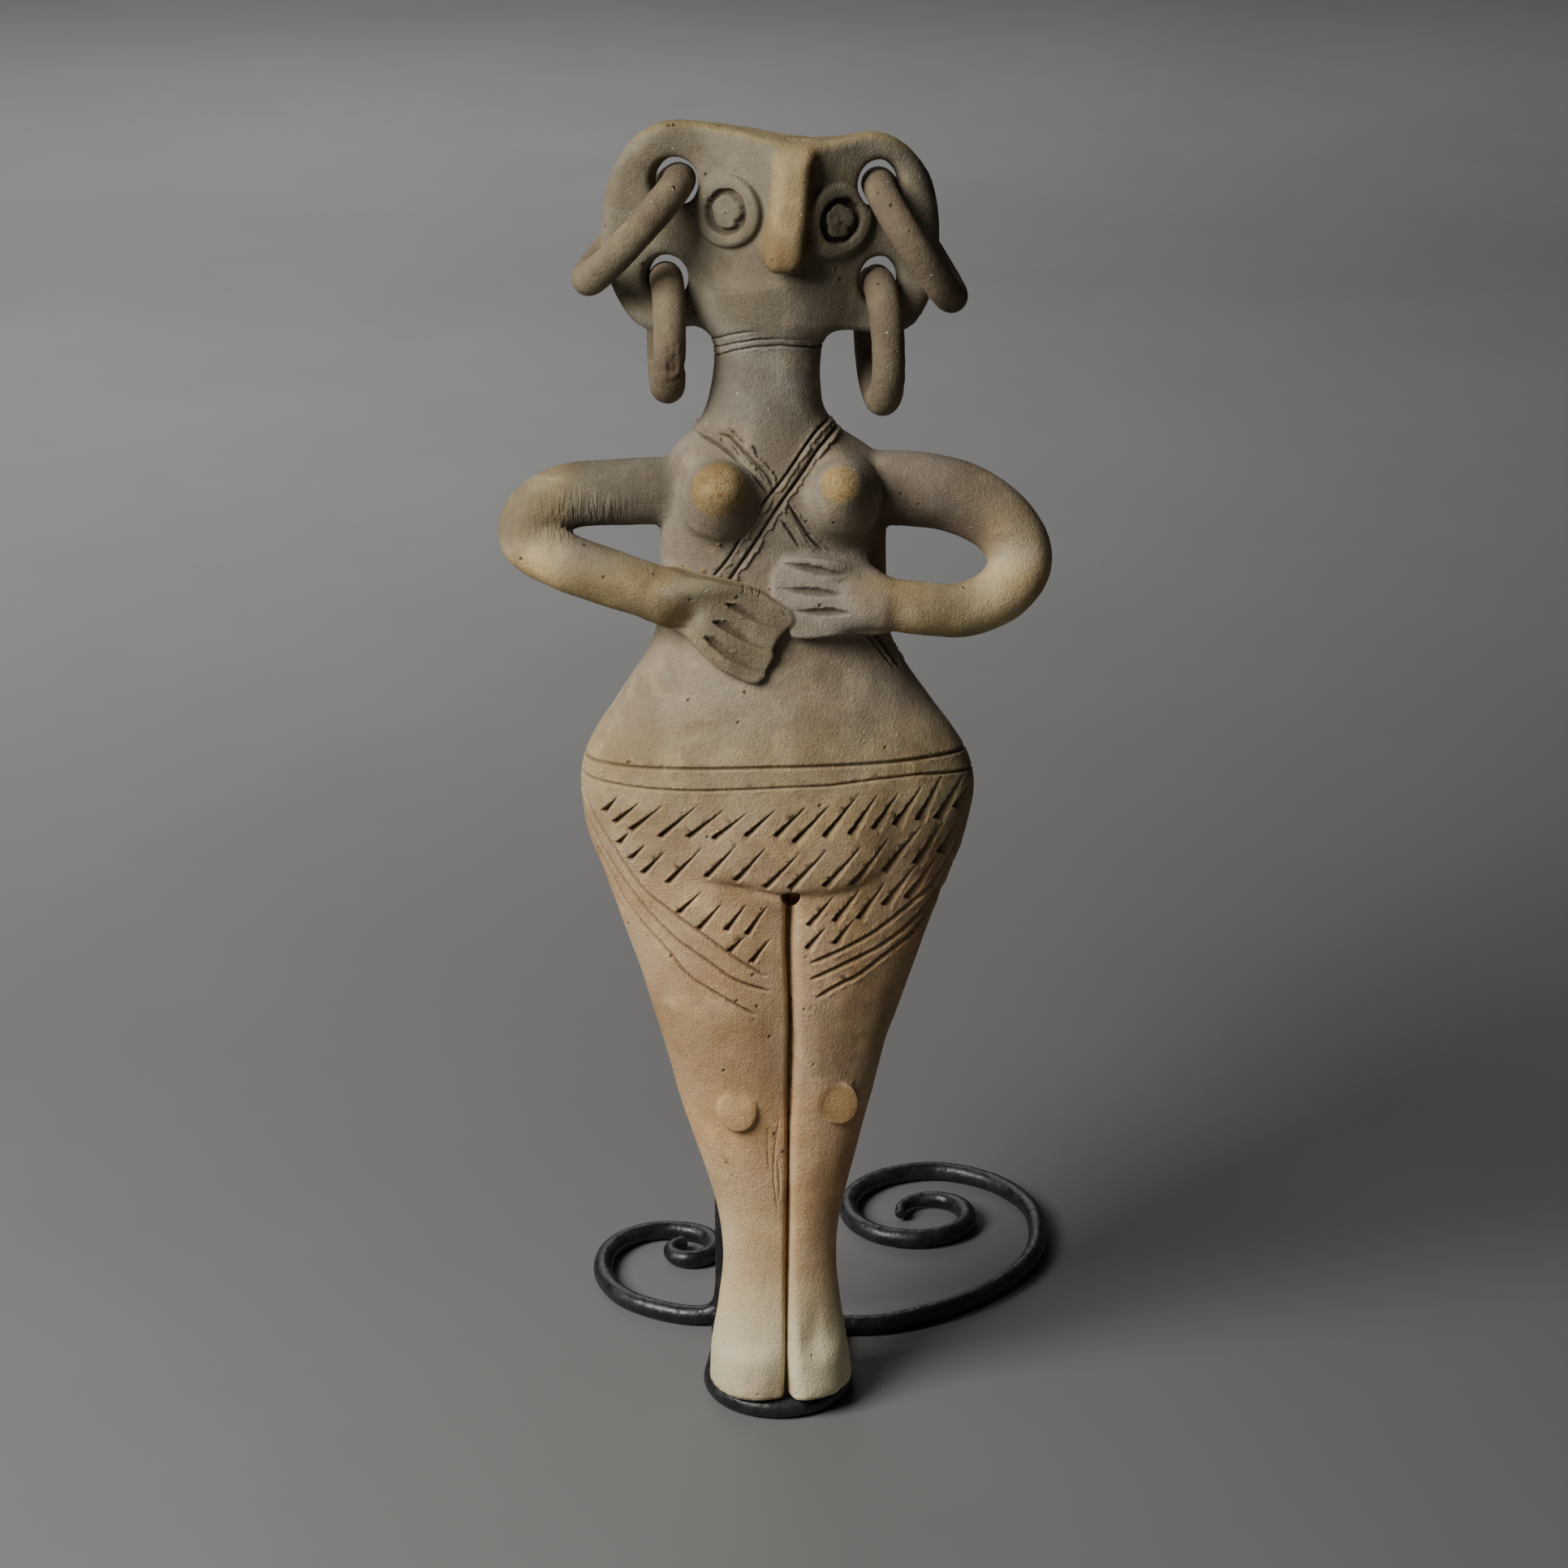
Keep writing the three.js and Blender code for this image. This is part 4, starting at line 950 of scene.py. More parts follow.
def right_rod_line():
    """The right scroll: it opens by quarter turns from its eye, runs behind the heels and loops the feet."""
    turn = np.arange(0, 6.401, 0.4)
    angle = np.radians(190 - 90 * turn)
    radius = 7.5 + 2 * turn + 0.5 * turn**2
    scroll = np.stack([47 + radius * np.cos(angle), 131 + radius * np.sin(angle)], 1)
    scroll[-3:] = [[68.8, 154.4], [80.9, 136.6], [83.1, 114.6]]
    run = [[79.2, 96.4], [69.0, 79.8], [56.2, 67.2], [42.8, 58.8], [30.7, 53.8], [18, 53.6], [4, 54.9],
           [-6, 56], [-12, 56.4], [-16.2, 55.6], [-17.4, 51.4], [-16.6, 44], [-17.6, 34]]
    bend = np.radians(np.arange(180, 360.1, 22.5))
    loop = np.stack([0.3 + 19.5 * np.cos(bend), 19.5 + 19.5 * np.sin(bend)], 1)
    flat = np.vstack([scroll, run, loop, [[18.2, 33], [16.4, 42], [16, 50.2]]])
    return np.column_stack([flat, np.full(len(flat), ROD / 2)])


def left_rod_line():
    """The left scroll: from its eye outward, back to the post, then up to the rest bar."""
    along = (REST_HEIGHT - 6.3) / np.cos(LEAN)
    back = skin(0.0, along, 1) * np.cos(LEAN) + along * np.sin(LEAN)
    top = 13 + back + 0.3 + ROD / 2
    foot = top - 2
    floor = ROD / 2
    scroll = [[-29.4, 109.6], [-33.2, 107.6], [-34, 102], [-30.4, 98], [-24.6, 98.2], [-20.4, 102.4],
              [-19.8, 109], [-23.4, 115.4], [-31, 118.4], [-40, 118], [-47.6, 113.4], [-53.3, 104.5],
              [-55, 93.2], [-53.1, 82], [-47.4, 71.4], [-39.5, 65.2], [-30, foot + 1]]
    upright = [[-23.4, foot, floor + 0.1], [-19, foot, 3.9], [-16.8, foot, 7.4], [POST_X, foot, 13],
               [POST_X, foot + 0.4, 60], [POST_X, foot + 1.1, 130], [POST_X, top, REST_HEIGHT - 8],
               [POST_X + 2.2, top, REST_HEIGHT - 2.2], [POST_X + 8, top, REST_HEIGHT], [18, top, REST_HEIGHT]]
    return np.array([[x, y, floor] for x, y in scroll] + upright)


def centripetal(knots, step):
    """A smooth line through knots whose pace follows the root of their distance, at an even spacing."""
    pad = np.vstack([2 * knots[:1] - knots[1:2], knots, 2 * knots[-1:] - knots[-2:-1]])
    p0, p1, p2, p3 = pad[:-3], pad[1:-2], pad[2:-1], pad[3:]
    pace = [np.sqrt(np.linalg.norm(b - a, axis=1))[:, None] for a, b in ((p0, p1), (p1, p2), (p2, p3))]
    leave = ((p1 - p0) / pace[0] - (p2 - p0) / (pace[0] + pace[1]) + (p2 - p1) / pace[1]) * pace[1]
    arrive = ((p2 - p1) / pace[1] - (p3 - p1) / (pace[1] + pace[2]) + (p3 - p2) / pace[2]) * pace[1]
    t = (np.arange(24) / 24)[None, :, None]
    line = ((2 * t**3 - 3 * t**2 + 1) * p1[:, None] + (t**3 - 2 * t**2 + t) * leave[:, None]
            + (3 * t**2 - 2 * t**3) * p2[:, None] + (t**3 - t**2) * arrive[:, None]).reshape(-1, 3)
    line = np.vstack([line, knots[-1:]])
    ahead = np.concatenate([[0], np.cumsum(np.linalg.norm(np.diff(line, axis=0), axis=1))])
    even = np.linspace(0, ahead[-1], int(ahead[-1] / step) + 1)
    return np.stack([np.interp(even, ahead, line[:, k]) for k in range(3)], 1), even


def rod_surface(knots, taper, seed, columns=28):
    """A round bar along a line: circles square to it, smaller towards the scroll's eye, closed by a
    rounded end at both sides, and a little uneven from the hammer."""
    line, even = centripetal(knots, 1.0)
    width = np.arange(-9, 10)
    share = np.exp(-(width / 4.0)**2)
    padded = np.vstack([2 * line[0] - line[9:0:-1], line, 2 * line[-1] - line[-2:-11:-1]])
    line = sum(padded[9 + k:9 + k + len(line)] * part for k, part in zip(width, share / share.sum()))
    long = even[-1]
    tangent = np.gradient(line, axis=0)
    tangent /= np.linalg.norm(tangent, axis=1)[:, None]
    lean = np.cross(tangent, [0, 0.5, 0.866])
    lean /= np.linalg.norm(lean, axis=1)[:, None]
    up = np.cross(tangent, lean)
    cap = np.array([0.0, 0.12, 0.3, 0.55, 0.8])
    ends = np.concatenate([cap, even[1:-1][(even[1:-1] > 1) & (even[1:-1] < long - 1)], long - cap[::-1]])
    frame_at = [np.stack([np.interp(ends, even, part[:, k]) for k in range(3)], 1)
                for part in (line, lean, up)]
    from_end = np.minimum(ends, long - ends)
    soft = np.sqrt(np.clip(1 - (1 - np.clip(from_end / 1.0, 0, 1))**2, 0, 1))
    radius = (ROD / 2 - 1.0 + soft) * (1 - taper * eased(34, 0, ends))
    radius = np.where(from_end <= 0, 1e-3, radius)
    angle = np.arange(columns) * 2 * np.pi / columns
    ring = (np.cos(angle)[None, :, None] * frame_at[1][:, None]
            + np.sin(angle)[None, :, None] * frame_at[2][:, None])
    place = frame_at[0][:, None] + ring * radius[:, None, None]
    uneven = 0.10 * clumps(place, 7, seed) + 0.05 * clumps(place, 2.4, seed + 1)
    place = place + ring * (np.minimum(uneven, 0.02) * (radius[:, None] > 1))[..., None]
    return (place + MIDDLE).reshape(-1, 3), ring_faces(len(ends), columns, False)


def weld_surface(place, along, size, seed):
    """A weld bead: a lumpy pellet, longer along the joint, with the ripples of the run."""
    turn, round_ = np.meshgrid(np.linspace(0, np.pi, 26), np.arange(32) * 2 * np.pi / 32, indexing="ij")
    unit = np.stack([np.cos(turn), np.sin(turn) * np.cos(round_), np.sin(turn) * np.sin(round_)], -1)
    along = np.asarray(along, float) / np.linalg.norm(along)
    side = np.cross(along, [0, 0, 1.0]) if abs(along[2]) < 0.9 else np.cross(along, [1.0, 0, 0])
    side /= np.linalg.norm(side)
    up = np.cross(along, side)
    lump = 1 + 0.1 * clumps(unit * 3, 1.0, seed) + 0.05 * np.cos(unit[..., 0] * 14)
    shape = unit * size * lump[..., None]
    points = (np.asarray(place) + shape[..., :1] * along + shape[..., 1:2] * side + shape[..., 2:] * up)
    return (points + MIDDLE).reshape(-1, 3), ring_faces(26, 32, False)


# Materials

class Board:
    """Nodes laid out and joined in one line each."""

    def __init__(self, tree):
        self.tree = tree

    def add(self, kind, settings=None, **inputs):
        node = self.tree.nodes.new(kind)
        for name, value in (settings or {}).items():
            setattr(node, name, value)
        for name, value in inputs.items():
            socket = node.inputs[int(name[1:])] if name[0] == "_" else node.inputs[name.replace("_", " ")]
            self.join(value, socket)
        return node

    def join(self, value, socket):
        if isinstance(value, bpy.types.NodeSocket):
            self.tree.links.new(value, socket)
        else:
            socket.default_value = value

    def noise(self, place, scale, detail=3.0, rough=0.55, warp=0.0):
        return self.add("ShaderNodeTexNoise", None, Vector=place, Scale=scale, Detail=detail,
                        Roughness=rough, Distortion=warp).outputs[0]

    def steps(self, value, low, high, out_low=0.0, out_high=1.0):
        node = self.add("ShaderNodeMapRange", {"interpolation_type": "SMOOTHSTEP"}, _0=value, _1=low, _2=high,
                        _3=out_low, _4=out_high)
        return node.outputs[0]

    def maths(self, what, a, b=0.0):
        return self.add("ShaderNodeMath", {"operation": what}, _0=a, _1=b).outputs[0]

    def times(self, a, b):
        return self.maths("MULTIPLY", a, b)

    def plus(self, a, b):
        return self.maths("ADD", a, b)

    def mix(self, share, a, b, how="MIX"):
        node = self.add("ShaderNodeMix", {"data_type": "RGBA", "blend_type": how}, _0=share)
        self.join(a, node.inputs[6])
        self.join(b, node.inputs[7])
        return node.outputs[2]


def group(name, inputs, outputs):
    """An empty node group with named inputs and outputs: (name, kind, start value)."""
    tree = bpy.data.node_groups.new(name, "ShaderNodeTree")
    for label, kind, start in inputs:
        socket = tree.interface.new_socket(name=label, in_out="INPUT", socket_type=kind)
        if start is not None:
            socket.default_value = start
    for label, kind in outputs:
        tree.interface.new_socket(name=label, in_out="OUTPUT", socket_type=kind)
    return tree, Board(tree), tree.nodes.new("NodeGroupInput").outputs, tree.nodes.new("NodeGroupOutput").inputs


def clay_mottle_group():
    """Clay colour: two tones clouded into each other, fine freckles, pale grit and dark pores."""
    tree, board, given, gives = group(
        "clay_mottle",
        [("Place", "NodeSocketVector", None), ("Tone", "NodeSocketColor", (0.5, 0.5, 0.5, 1)),
         ("Second Tone", "NodeSocketColor", (0.4, 0.4, 0.4, 1)), ("Cloud Size", "NodeSocketFloat", 1.0),
         ("Grit", "NodeSocketFloat", 1.0), ("Pores", "NodeSocketFloat", 1.0)],
        [("Color", "NodeSocketColor"), ("Height", "NodeSocketFloat")])
    place = given["Place"]
    cloud = board.noise(place, 45.0, 5.0, 0.6, 0.4)
    freckle = board.noise(place, 420.0, 3.0, 0.6)
    tone = board.mix(board.steps(cloud, 0.40, 0.62), given["Tone"], given["Second Tone"])
    bloom = board.noise(place, 105.0, 4.0, 0.55, 0.3)
    tone = board.mix(board.steps(bloom, 0.52, 0.68, 0.0, 0.6), tone,
                     board.mix(1.0, tone, (1.42, 1.40, 1.30, 1), "MULTIPLY"))
    tone = board.mix(board.steps(freckle, 0.3, 0.75, 0.0, 0.5), tone,
                     board.mix(1.0, tone, (0.80, 0.78, 0.74, 1), "MULTIPLY"))
    grit = board.add("ShaderNodeTexVoronoi", {"feature": "F1"}, Vector=place, Scale=330.0, Randomness=1.0)
    pick = board.steps(board.add("ShaderNodeSeparateColor", None, _0=grit.outputs["Color"]).outputs[0],
                       0.82, 0.84)
    dot = board.times(board.steps(grit.outputs["Distance"], 0.16, 0.06), pick)
    dot = board.times(dot, given["Grit"])
    tone = board.mix(board.times(dot, 0.55), tone, (0.80, 0.74, 0.60, 1))
    pores = board.add("ShaderNodeTexVoronoi", {"feature": "F1"}, Vector=place, Scale=240.0, Randomness=1.0)
    some = board.steps(board.add("ShaderNodeSeparateColor", None, _0=pores.outputs["Color"]).outputs[1],
                       0.86, 0.89)
    pit = board.times(board.steps(pores.outputs["Distance"], 0.20, 0.05), some)
    pit = board.times(pit, given["Pores"])
    tone = board.mix(board.times(pit, 0.75), tone, (0.07, 0.045, 0.03, 1))
    height = board.maths("SUBTRACT", board.times(dot, 0.3), pit)
    board.join(tone, gives["Color"])
    board.join(height, gives["Height"])
    return tree


def hand_worked_group():
    """Relief too fine for the mesh: sand grain, smoothing streaks up and down, and small lumps."""
    tree, board, given, gives = group(
        "hand_worked",
        [("Place", "NodeSocketVector", None), ("Grain", "NodeSocketFloat", 1.0),
         ("Streaks", "NodeSocketFloat", 1.0)],
        [("Height", "NodeSocketFloat")])
    place = given["Place"]
    grain = board.noise(place, 1250.0, 4.0, 0.7)
    lumps = board.noise(place, 330.0, 4.0, 0.6)
    drawn = board.add("ShaderNodeMapping", None, Vector=place, Scale=(1.0, 1.0, 0.12)).outputs[0]
    streak = board.noise(drawn, 520.0, 3.0, 0.6, 0.3)
    lumps = board.times(lumps, 0.4)
    height = board.plus(board.times(board.times(grain, 0.8), given["Grain"]), lumps)
    height = board.plus(height, board.times(streak, given["Streaks"]))
    board.join(height, gives["Height"])
    return tree


CLAY_MOTTLE = clay_mottle_group()
HAND_WORKED = hand_worked_group()


def use(board, tree, **inputs):
    node = board.add("ShaderNodeGroup", {"node_tree": tree})
    for name, value in inputs.items():
        board.join(value, node.inputs[name.replace("_", " ")])
    return node.outputs


def fresh(name):
    material = bpy.data.materials.new(name)
    material.use_nodes = True
    board = Board(material.node_tree)
    shader = material.node_tree.nodes["Principled BSDF"]
    return material, board, shader


def figure_clay():
    """Low-fired clay: a grey-beige coat above, warmer tan where it is bare or rubbed, pinkish on the
    legs, brown in the cuts and pale at the feet, with a painted shadow beside the nose and painted
    shade and light in some regional tints. The painted channels say where."""
    material, board, shader = fresh("figure_clay")
    place = board.add("ShaderNodeTexCoord").outputs["Object"]
    painted = board.add("ShaderNodeVertexColor", {"layer_name": "wear_and_shade"})
    part = board.add("ShaderNodeSeparateColor", None, _0=painted.outputs["Color"])
    warm, dark_cuts_and_shade, pale = part.outputs[0], part.outputs[1], part.outputs[2]
    legs = board.add("ShaderNodeVertexColor", {"layer_name": "body"})
    body = board.add("ShaderNodeSeparateColor", None, _0=legs.outputs["Color"])
    ash = legs.outputs["Alpha"]
    tint = board.add("ShaderNodeVertexColor", {"layer_name": "tint"}).outputs
    light = board.mix(ash, (0.370, 0.300, 0.212, 1), (0.285, 0.238, 0.178, 1))
    dark = board.mix(ash, (0.285, 0.222, 0.150, 1), (0.215, 0.172, 0.122, 1))
    coat = use(board, CLAY_MOTTLE, Place=place, Tone=light, Second_Tone=dark, Pores=0.8)
    bare = use(board, CLAY_MOTTLE, Place=place, Tone=(0.385, 0.292, 0.150, 1),
               Second_Tone=(0.290, 0.208, 0.098, 1), Pores=1.0)
    flesh = use(board, CLAY_MOTTLE, Place=place, Tone=(0.590, 0.420, 0.280, 1),
                Second_Tone=(0.500, 0.330, 0.205, 1), Pores=0.5, Grit=0.6)
    edge = board.noise(place, 120.0, 4.0, 0.6)
    blur = board.times(board.maths("SUBTRACT", edge, 0.5), 0.5)
    tone = board.mix(board.plus(body.outputs[0], blur), coat["Color"], flesh["Color"])
    tone = board.mix(board.steps(board.plus(warm, blur), 0.05, 0.9), tone, bare["Color"])
    tone = board.mix(board.steps(board.plus(pale, blur), 0.05, 1.0, 0.0, 0.82), tone,
                     (0.640, 0.535, 0.335, 1))
    tone = board.mix(1.0, tone, (1.6, 1.6, 1.6, 1), "MULTIPLY")
    # The region tint holds painted shade on the upper chest, upper arms, left forearm and hand, and painted
    # light on the elbows.
    tone = board.mix(1.0, tone, tint["Color"], "MULTIPLY")
    tone = board.mix(board.times(tint["Alpha"], 0.85), tone, (0.300, 0.150, 0.060, 1))
    rust = board.add("ShaderNodeTexNoise", None, Vector=place, Scale=200.0, Detail=4.0, Roughness=0.6,
                     Distortion=2.6)
    vein = board.steps(board.maths("ABSOLUTE", board.maths("SUBTRACT", rust.outputs[0], 0.5)), 0.030, 0.006)
    tone = board.mix(board.times(board.times(vein, body.outputs[1]), 0.8), tone, (0.20, 0.085, 0.035, 1))
    # Darkest brown in the cuts, and a painted shadow on the face right of the nose.
    tone = board.mix(board.times(dark_cuts_and_shade, 0.7), tone, (0.060, 0.036, 0.022, 1))
    board.join(tone, shader.inputs["Base Color"])
    shader.inputs["Roughness"].default_value = 0.88
    shader.inputs["Specular IOR Level"].default_value = 0.25
    worked = use(board, HAND_WORKED, Place=place, Grain=1.25, Streaks=0.35)
    squeezed = board.add("ShaderNodeMapping", None, Vector=place, Scale=(1.0, 0.16, 0.16)).outputs[0]
    wrinkle = board.noise(squeezed, 760.0, 2.0, 0.5, 0.6)
    height = board.plus(worked["Height"], board.times(coat["Height"], 1.4))
    height = board.plus(height, board.times(board.times(wrinkle, body.outputs[2]), 7.0))
    bump = board.add("ShaderNodeBump", None, Strength=0.85, Distance=0.0006, Height=height)
    board.join(bump.outputs[0], shader.inputs["Normal"])
    return material


def ring_clay():
    """The same clay left rough and a little browner on the rolled rings."""
    material, board, shader = fresh("ring_clay")
    place = board.add("ShaderNodeTexCoord").outputs["Object"]
    painted = board.add("ShaderNodeVertexColor", {"layer_name": "wear_and_shade"})
    part = board.add("ShaderNodeSeparateColor", None, _0=painted.outputs["Color"])
    coat = use(board, CLAY_MOTTLE, Place=place, Tone=(0.235, 0.186, 0.120, 1),
               Second_Tone=(0.170, 0.130, 0.084, 1), Pores=1.0)
    tone = board.mix(board.times(part.outputs[0], 0.6), coat["Color"], (0.17, 0.115, 0.075, 1))
    board.join(tone, shader.inputs["Base Color"])
    shader.inputs["Roughness"].default_value = 0.9
    shader.inputs["Specular IOR Level"].default_value = 0.25
    worked = use(board, HAND_WORKED, Place=place, Grain=1.4, Streaks=0.25)
    height = board.plus(worked["Height"], board.times(coat["Height"], 1.5))
    bump = board.add("ShaderNodeBump", None, Strength=0.95, Distance=0.0006, Height=height)
    board.join(bump.outputs[0], shader.inputs["Normal"])
    return material


def black_iron():
    """Forged bar under a thin black finish: hammer marks, a satin sheen and lighter, rougher patches."""
    material, board, shader = fresh("black_iron")
    place = board.add("ShaderNodeTexCoord").outputs["Object"]
    dull = board.noise(place, 160.0, 5.0, 0.65)
    tone = board.mix(board.steps(dull, 0.35, 0.75), (0.009, 0.009, 0.010, 1), (0.026, 0.026, 0.028, 1))
    board.join(tone, shader.inputs["Base Color"])
    board.join(board.steps(dull, 0.25, 0.8, 0.30, 0.52), shader.inputs["Roughness"])
    shader.inputs["Specular IOR Level"].default_value = 0.6
    hammer = board.noise(place, 230.0, 3.0, 0.5)
    scale = board.noise(place, 1300.0, 2.0, 0.6)
    height = board.plus(board.times(hammer, 3.0), board.times(scale, 0.35))
    bump = board.add("ShaderNodeBump", None, Strength=0.45, Distance=0.0004, Height=height)
    board.join(bump.outputs[0], shader.inputs["Normal"])
    return material


def studio_floor():
    """Paper with the faintest cloud in it, and painted light in its tone: darker near the camera,
    lighter far back and dimmer towards the right.
    """
    material, board, shader = fresh("studio_floor")
    place = board.add("ShaderNodeTexCoord").outputs["Object"]
    cloud = board.noise(place, 9.0, 4.0, 0.6)
    split = board.add("ShaderNodeSeparateXYZ", None, _0=place).outputs
    # Painted light: the paper's tone rises from near to far.
    tone = board.mix(board.steps(split[1], 0.1, 1.1), (0.200, 0.199, 0.196, 1), (0.470, 0.471, 0.475, 1))
    tone = board.mix(board.steps(split[1], 1.1, 1.7), tone, (0.950, 0.950, 0.955, 1))
    # Painted light falloff: the paper dims towards the right.
    painted_falloff = board.mix(board.steps(split[0], -0.45, 0.5), (1.0, 1.0, 1.0, 1), (0.62, 0.62, 0.62, 1))
    tone = board.mix(1.0, tone, painted_falloff, "MULTIPLY")
    tone = board.mix(board.steps(cloud, 0.3, 0.7, 0.0, 0.06), tone, (0.1, 0.1, 0.1, 1))
    board.join(tone, shader.inputs["Base Color"])
    shader.inputs["Roughness"].default_value = 0.9
    shader.inputs["Specular IOR Level"].default_value = 0.2
    return material


# Painting where the clay changes

def body_paint(points, normal, depth):
    """Masks over the figure: warm clay, clay darkened in the cuts with a painted shadow beside the nose,
    and pale clay; pinkish legs, rusty veins, wrinkles and the grey of the upper body; and a tint by
    region, at 1 / 1.6 of its strength, with rust spots. The tints were fitted from one angle only: those
    of the upper chest, the upper arms and the left forearm and hand hold painted shade, and those of
    the elbows painted light, on top of the clay's own colour."""
    x, d, s = points.T
    front = eased(4, -6, d)
    clouds = clumps(points, 14, 21) + 0.5 * clumps(points, 5, 22)
    on_arm = np.minimum(only_near(points, [-92, -42, 224], [-12, 22, 292], lambda p: coil(p, LEFT_ARM)),
                        only_near(points, [10, -42, 218], [92, 22, 294], lambda p: coil(p, RIGHT_ARM)))
    arms = eased(2.5, 0.2, on_arm) * np.maximum(eased(262, 250, s), 0.6 * eased(48, 64, np.abs(x + 1)))
    lies = where_cut(points)
    hands = np.maximum(lies["left hand"], 0.1 * lies["right hand"])
    arms = arms * (1 - 0.85 * eased(36, 22, x) * (x > 0))
    nose = eased(2.0, 0.0, only_near(points, [-14, -38, 324], [20, 12, 386], beak))
    crown = eased(0.35, 0.8, normal[:, 2]) * eased(362, 368, s)
    tips = np.zeros(len(points))
    for bx, bs in BREASTS:
        wide = 13.0 if bx < 0 else 10.5
        tips = np.maximum(tips,
                          eased(wide, wide - 3, np.linalg.norm(points - [bx - 1.0, -33, bs + 7.5], axis=1)))
    knees = np.zeros(len(points))
    for (kx, ks, radius, _), share in zip(KNEES, (0.15, 1.0)):
        knees = np.maximum(knees, share * eased(radius + 0.6, radius - 1, np.hypot(x - kx, s - ks)) * front)
    low_belly = eased(226, 196, s) * 0.35
    warm = np.maximum.reduce([0.75 * arms, 0.6 * hands, 0.95 * nose, 0.7 * crown, tips, 0.8 * knees,
                              low_belly])
    rust = np.maximum(0.75 * knees * (x > 0), crumbs(points))
    rust = np.maximum(rust,
                      0.4 * nose * eased(0.0, 0.9, clumps(points, 5, 24) + 0.5 * clumps(points, 1.6, 25)))
    warm = warm + 0.16 * clouds * (warm > 0.05)
    # Darker in the cuts and along the bottom line of the parting.
    dark_cuts_and_shade = eased(0.12, 0.95, depth) * 0.85
    dark_cuts_and_shade = np.maximum(dark_cuts_and_shade,
                      eased(0.6, 0.2, np.abs(x - np.interp(s, [0, 55, 112, 156], [2.8, 3.2, 4.0, 3.3])))
                      * (s < 158) * front * 0.55)
    pale = np.clip(eased(88, 2, s) * (0.95 + 0.6 * clouds), 0, 1)
    pale = np.maximum(pale, 0.35 * eased(0.5, 0.9, clumps(points, [9, 9, 13], 23)) * (s > 40))
    legs = eased(206, 150, s) * (0.85 + 0.15 * clouds)
    # Painted shadow: the face right of the nose is darkened where the nose's shade falls.
    nose_shadow = np.exp(-((x - 9.6) / 2.2)**2) * eased(340, 346, s) * eased(374, 366, s) * eased(-12, -15, d)
    dark_cuts_and_shade = np.maximum(dark_cuts_and_shade, 0.9 * nose_shadow * (normal[:, 0] > 0.3))
    ash = eased(222, 262, s)
    squeeze = 0.75 * np.exp(-((x + 54) / 10)**2) * eased(276, 268, s) * eased(3, -5, d) * eased(258, 262, s)
    veins = tips
    upper = eased(2.5, 0.2, on_arm) * eased(256, 264, s)
    lower = eased(2.5, 0.2, on_arm) * eased(264, 256, s)
    far_out = eased(54, 66, np.abs(x + 1))
    regions = [(eased(318, 326, s) * (1 - nose), (0.82, 0.85, 0.81)), 
               (eased(-14, -20, x) * eased(232, 240, s) * eased(256, 248, s) * (on_arm > 1),
                (1.10, 1.18, 1.26)),
               (eased(290, 298, s) * eased(324, 318, s), (0.95, 1.03, 1.11)),
               # Painted shade: the middle of the upper chest below the neck is darkened.
               (np.exp(-((x - 0.5) / 7)**4 - ((s - 290) / 12)**4), (0.66, 0.64, 0.61)),
               (tips, (0.92, 0.90, 0.80)),
               # Upper arms darker: partly the clay's colour, partly painted shade.
               (upper * (x < 0), (0.64, 0.67, 0.66)), (upper * (x > 0), (0.80, 0.78, 0.78)),
               # Left forearm and hand darker: partly the clay's colour, partly painted shade.
               (np.maximum(lower * (x < 0), lies["left hand"]) * (1 - far_out), (0.72, 0.72, 0.70)),
               (lies["left hand"], (0.97, 1.02, 1.22)),
               # Elbows lighter: partly the clay's colour, partly painted light.
               (np.maximum(upper, lower) * far_out * (x < 0), (1.48, 1.46, 1.40)),
               (np.maximum(upper, lower) * far_out * (x > 0), (1.50, 1.53, 1.58)),
               (eased(216, 200, s) * eased(160, 172, s), (1.10, 1.08, 0.98)),
               (eased(170, 158, s) * eased(118, 130, s), (1.22, 1.15, 1.03)),
               (eased(132, 116, s) * eased(100, 112, s), (1.08, 1.02, 0.92)),
               (eased(114, 80, s) * eased(12, 48, s), (1.42, 1.30, 1.12)),
               (lies["right hand"], (1.0, 1.04, 1.12)), (eased(30, 10, s), (1.24, 1.30, 1.34)),
               (eased(22, 8, s) * (x > 4), (1.16, 1.20, 1.24)),
               (eased(126, 112, s) * eased(70, 84, s) * eased(4, -4, x), (0.93, 0.88, 0.80)),
               (eased(76, 62, s) * eased(30, 42, s) * eased(-8, -16, x), (0.94, 1.04, 1.12)),
               (nose * eased(356, 344, s), (0.80, 0.80, 0.80)),
               (eased(2.0, 0.5, np.abs(on_arm)) * eased(256, 248, s) * (x > 30), (1.1, 1.12, 1.16))]
    tint = np.ones((len(points), 3))
    for share, factor in regions:
        tint *= 1 + share[:, None] * (np.array(factor) - 1)
    return (warm, dark_cuts_and_shade, pale), (legs, veins, squeeze, ash), (*(tint.T / 1.6), rust)


FIGURE_TRIANGLES = 192000


def thinned(piece, most):
    """The piece's mesh with its plainer places in fewer, larger triangles, down to this many."""
    thin = piece.modifiers.new("thin", "DECIMATE")
    thin.ratio = min(1.0, most / len(piece.data.polygons))
    graph = bpy.context.evaluated_depsgraph_get()
    graph.update()
    mesh = bpy.data.meshes.new_from_object(piece.evaluated_get(graph), preserve_all_data_layers=True,
                                           depsgraph=graph)
    piece.modifiers.clear()
    mesh.name = piece.name
    piece.data = mesh


# Putting it together

CLAY = figure_clay()
RING_CLAY = ring_clay()
IRON = black_iron()

moved, faces, resting, normal, depth = figure_surface()
figure = piece_from("figurine", stood(moved), faces, CLAY, "figure")
wear_and_shade, body, tint = body_paint(resting, normal, depth)
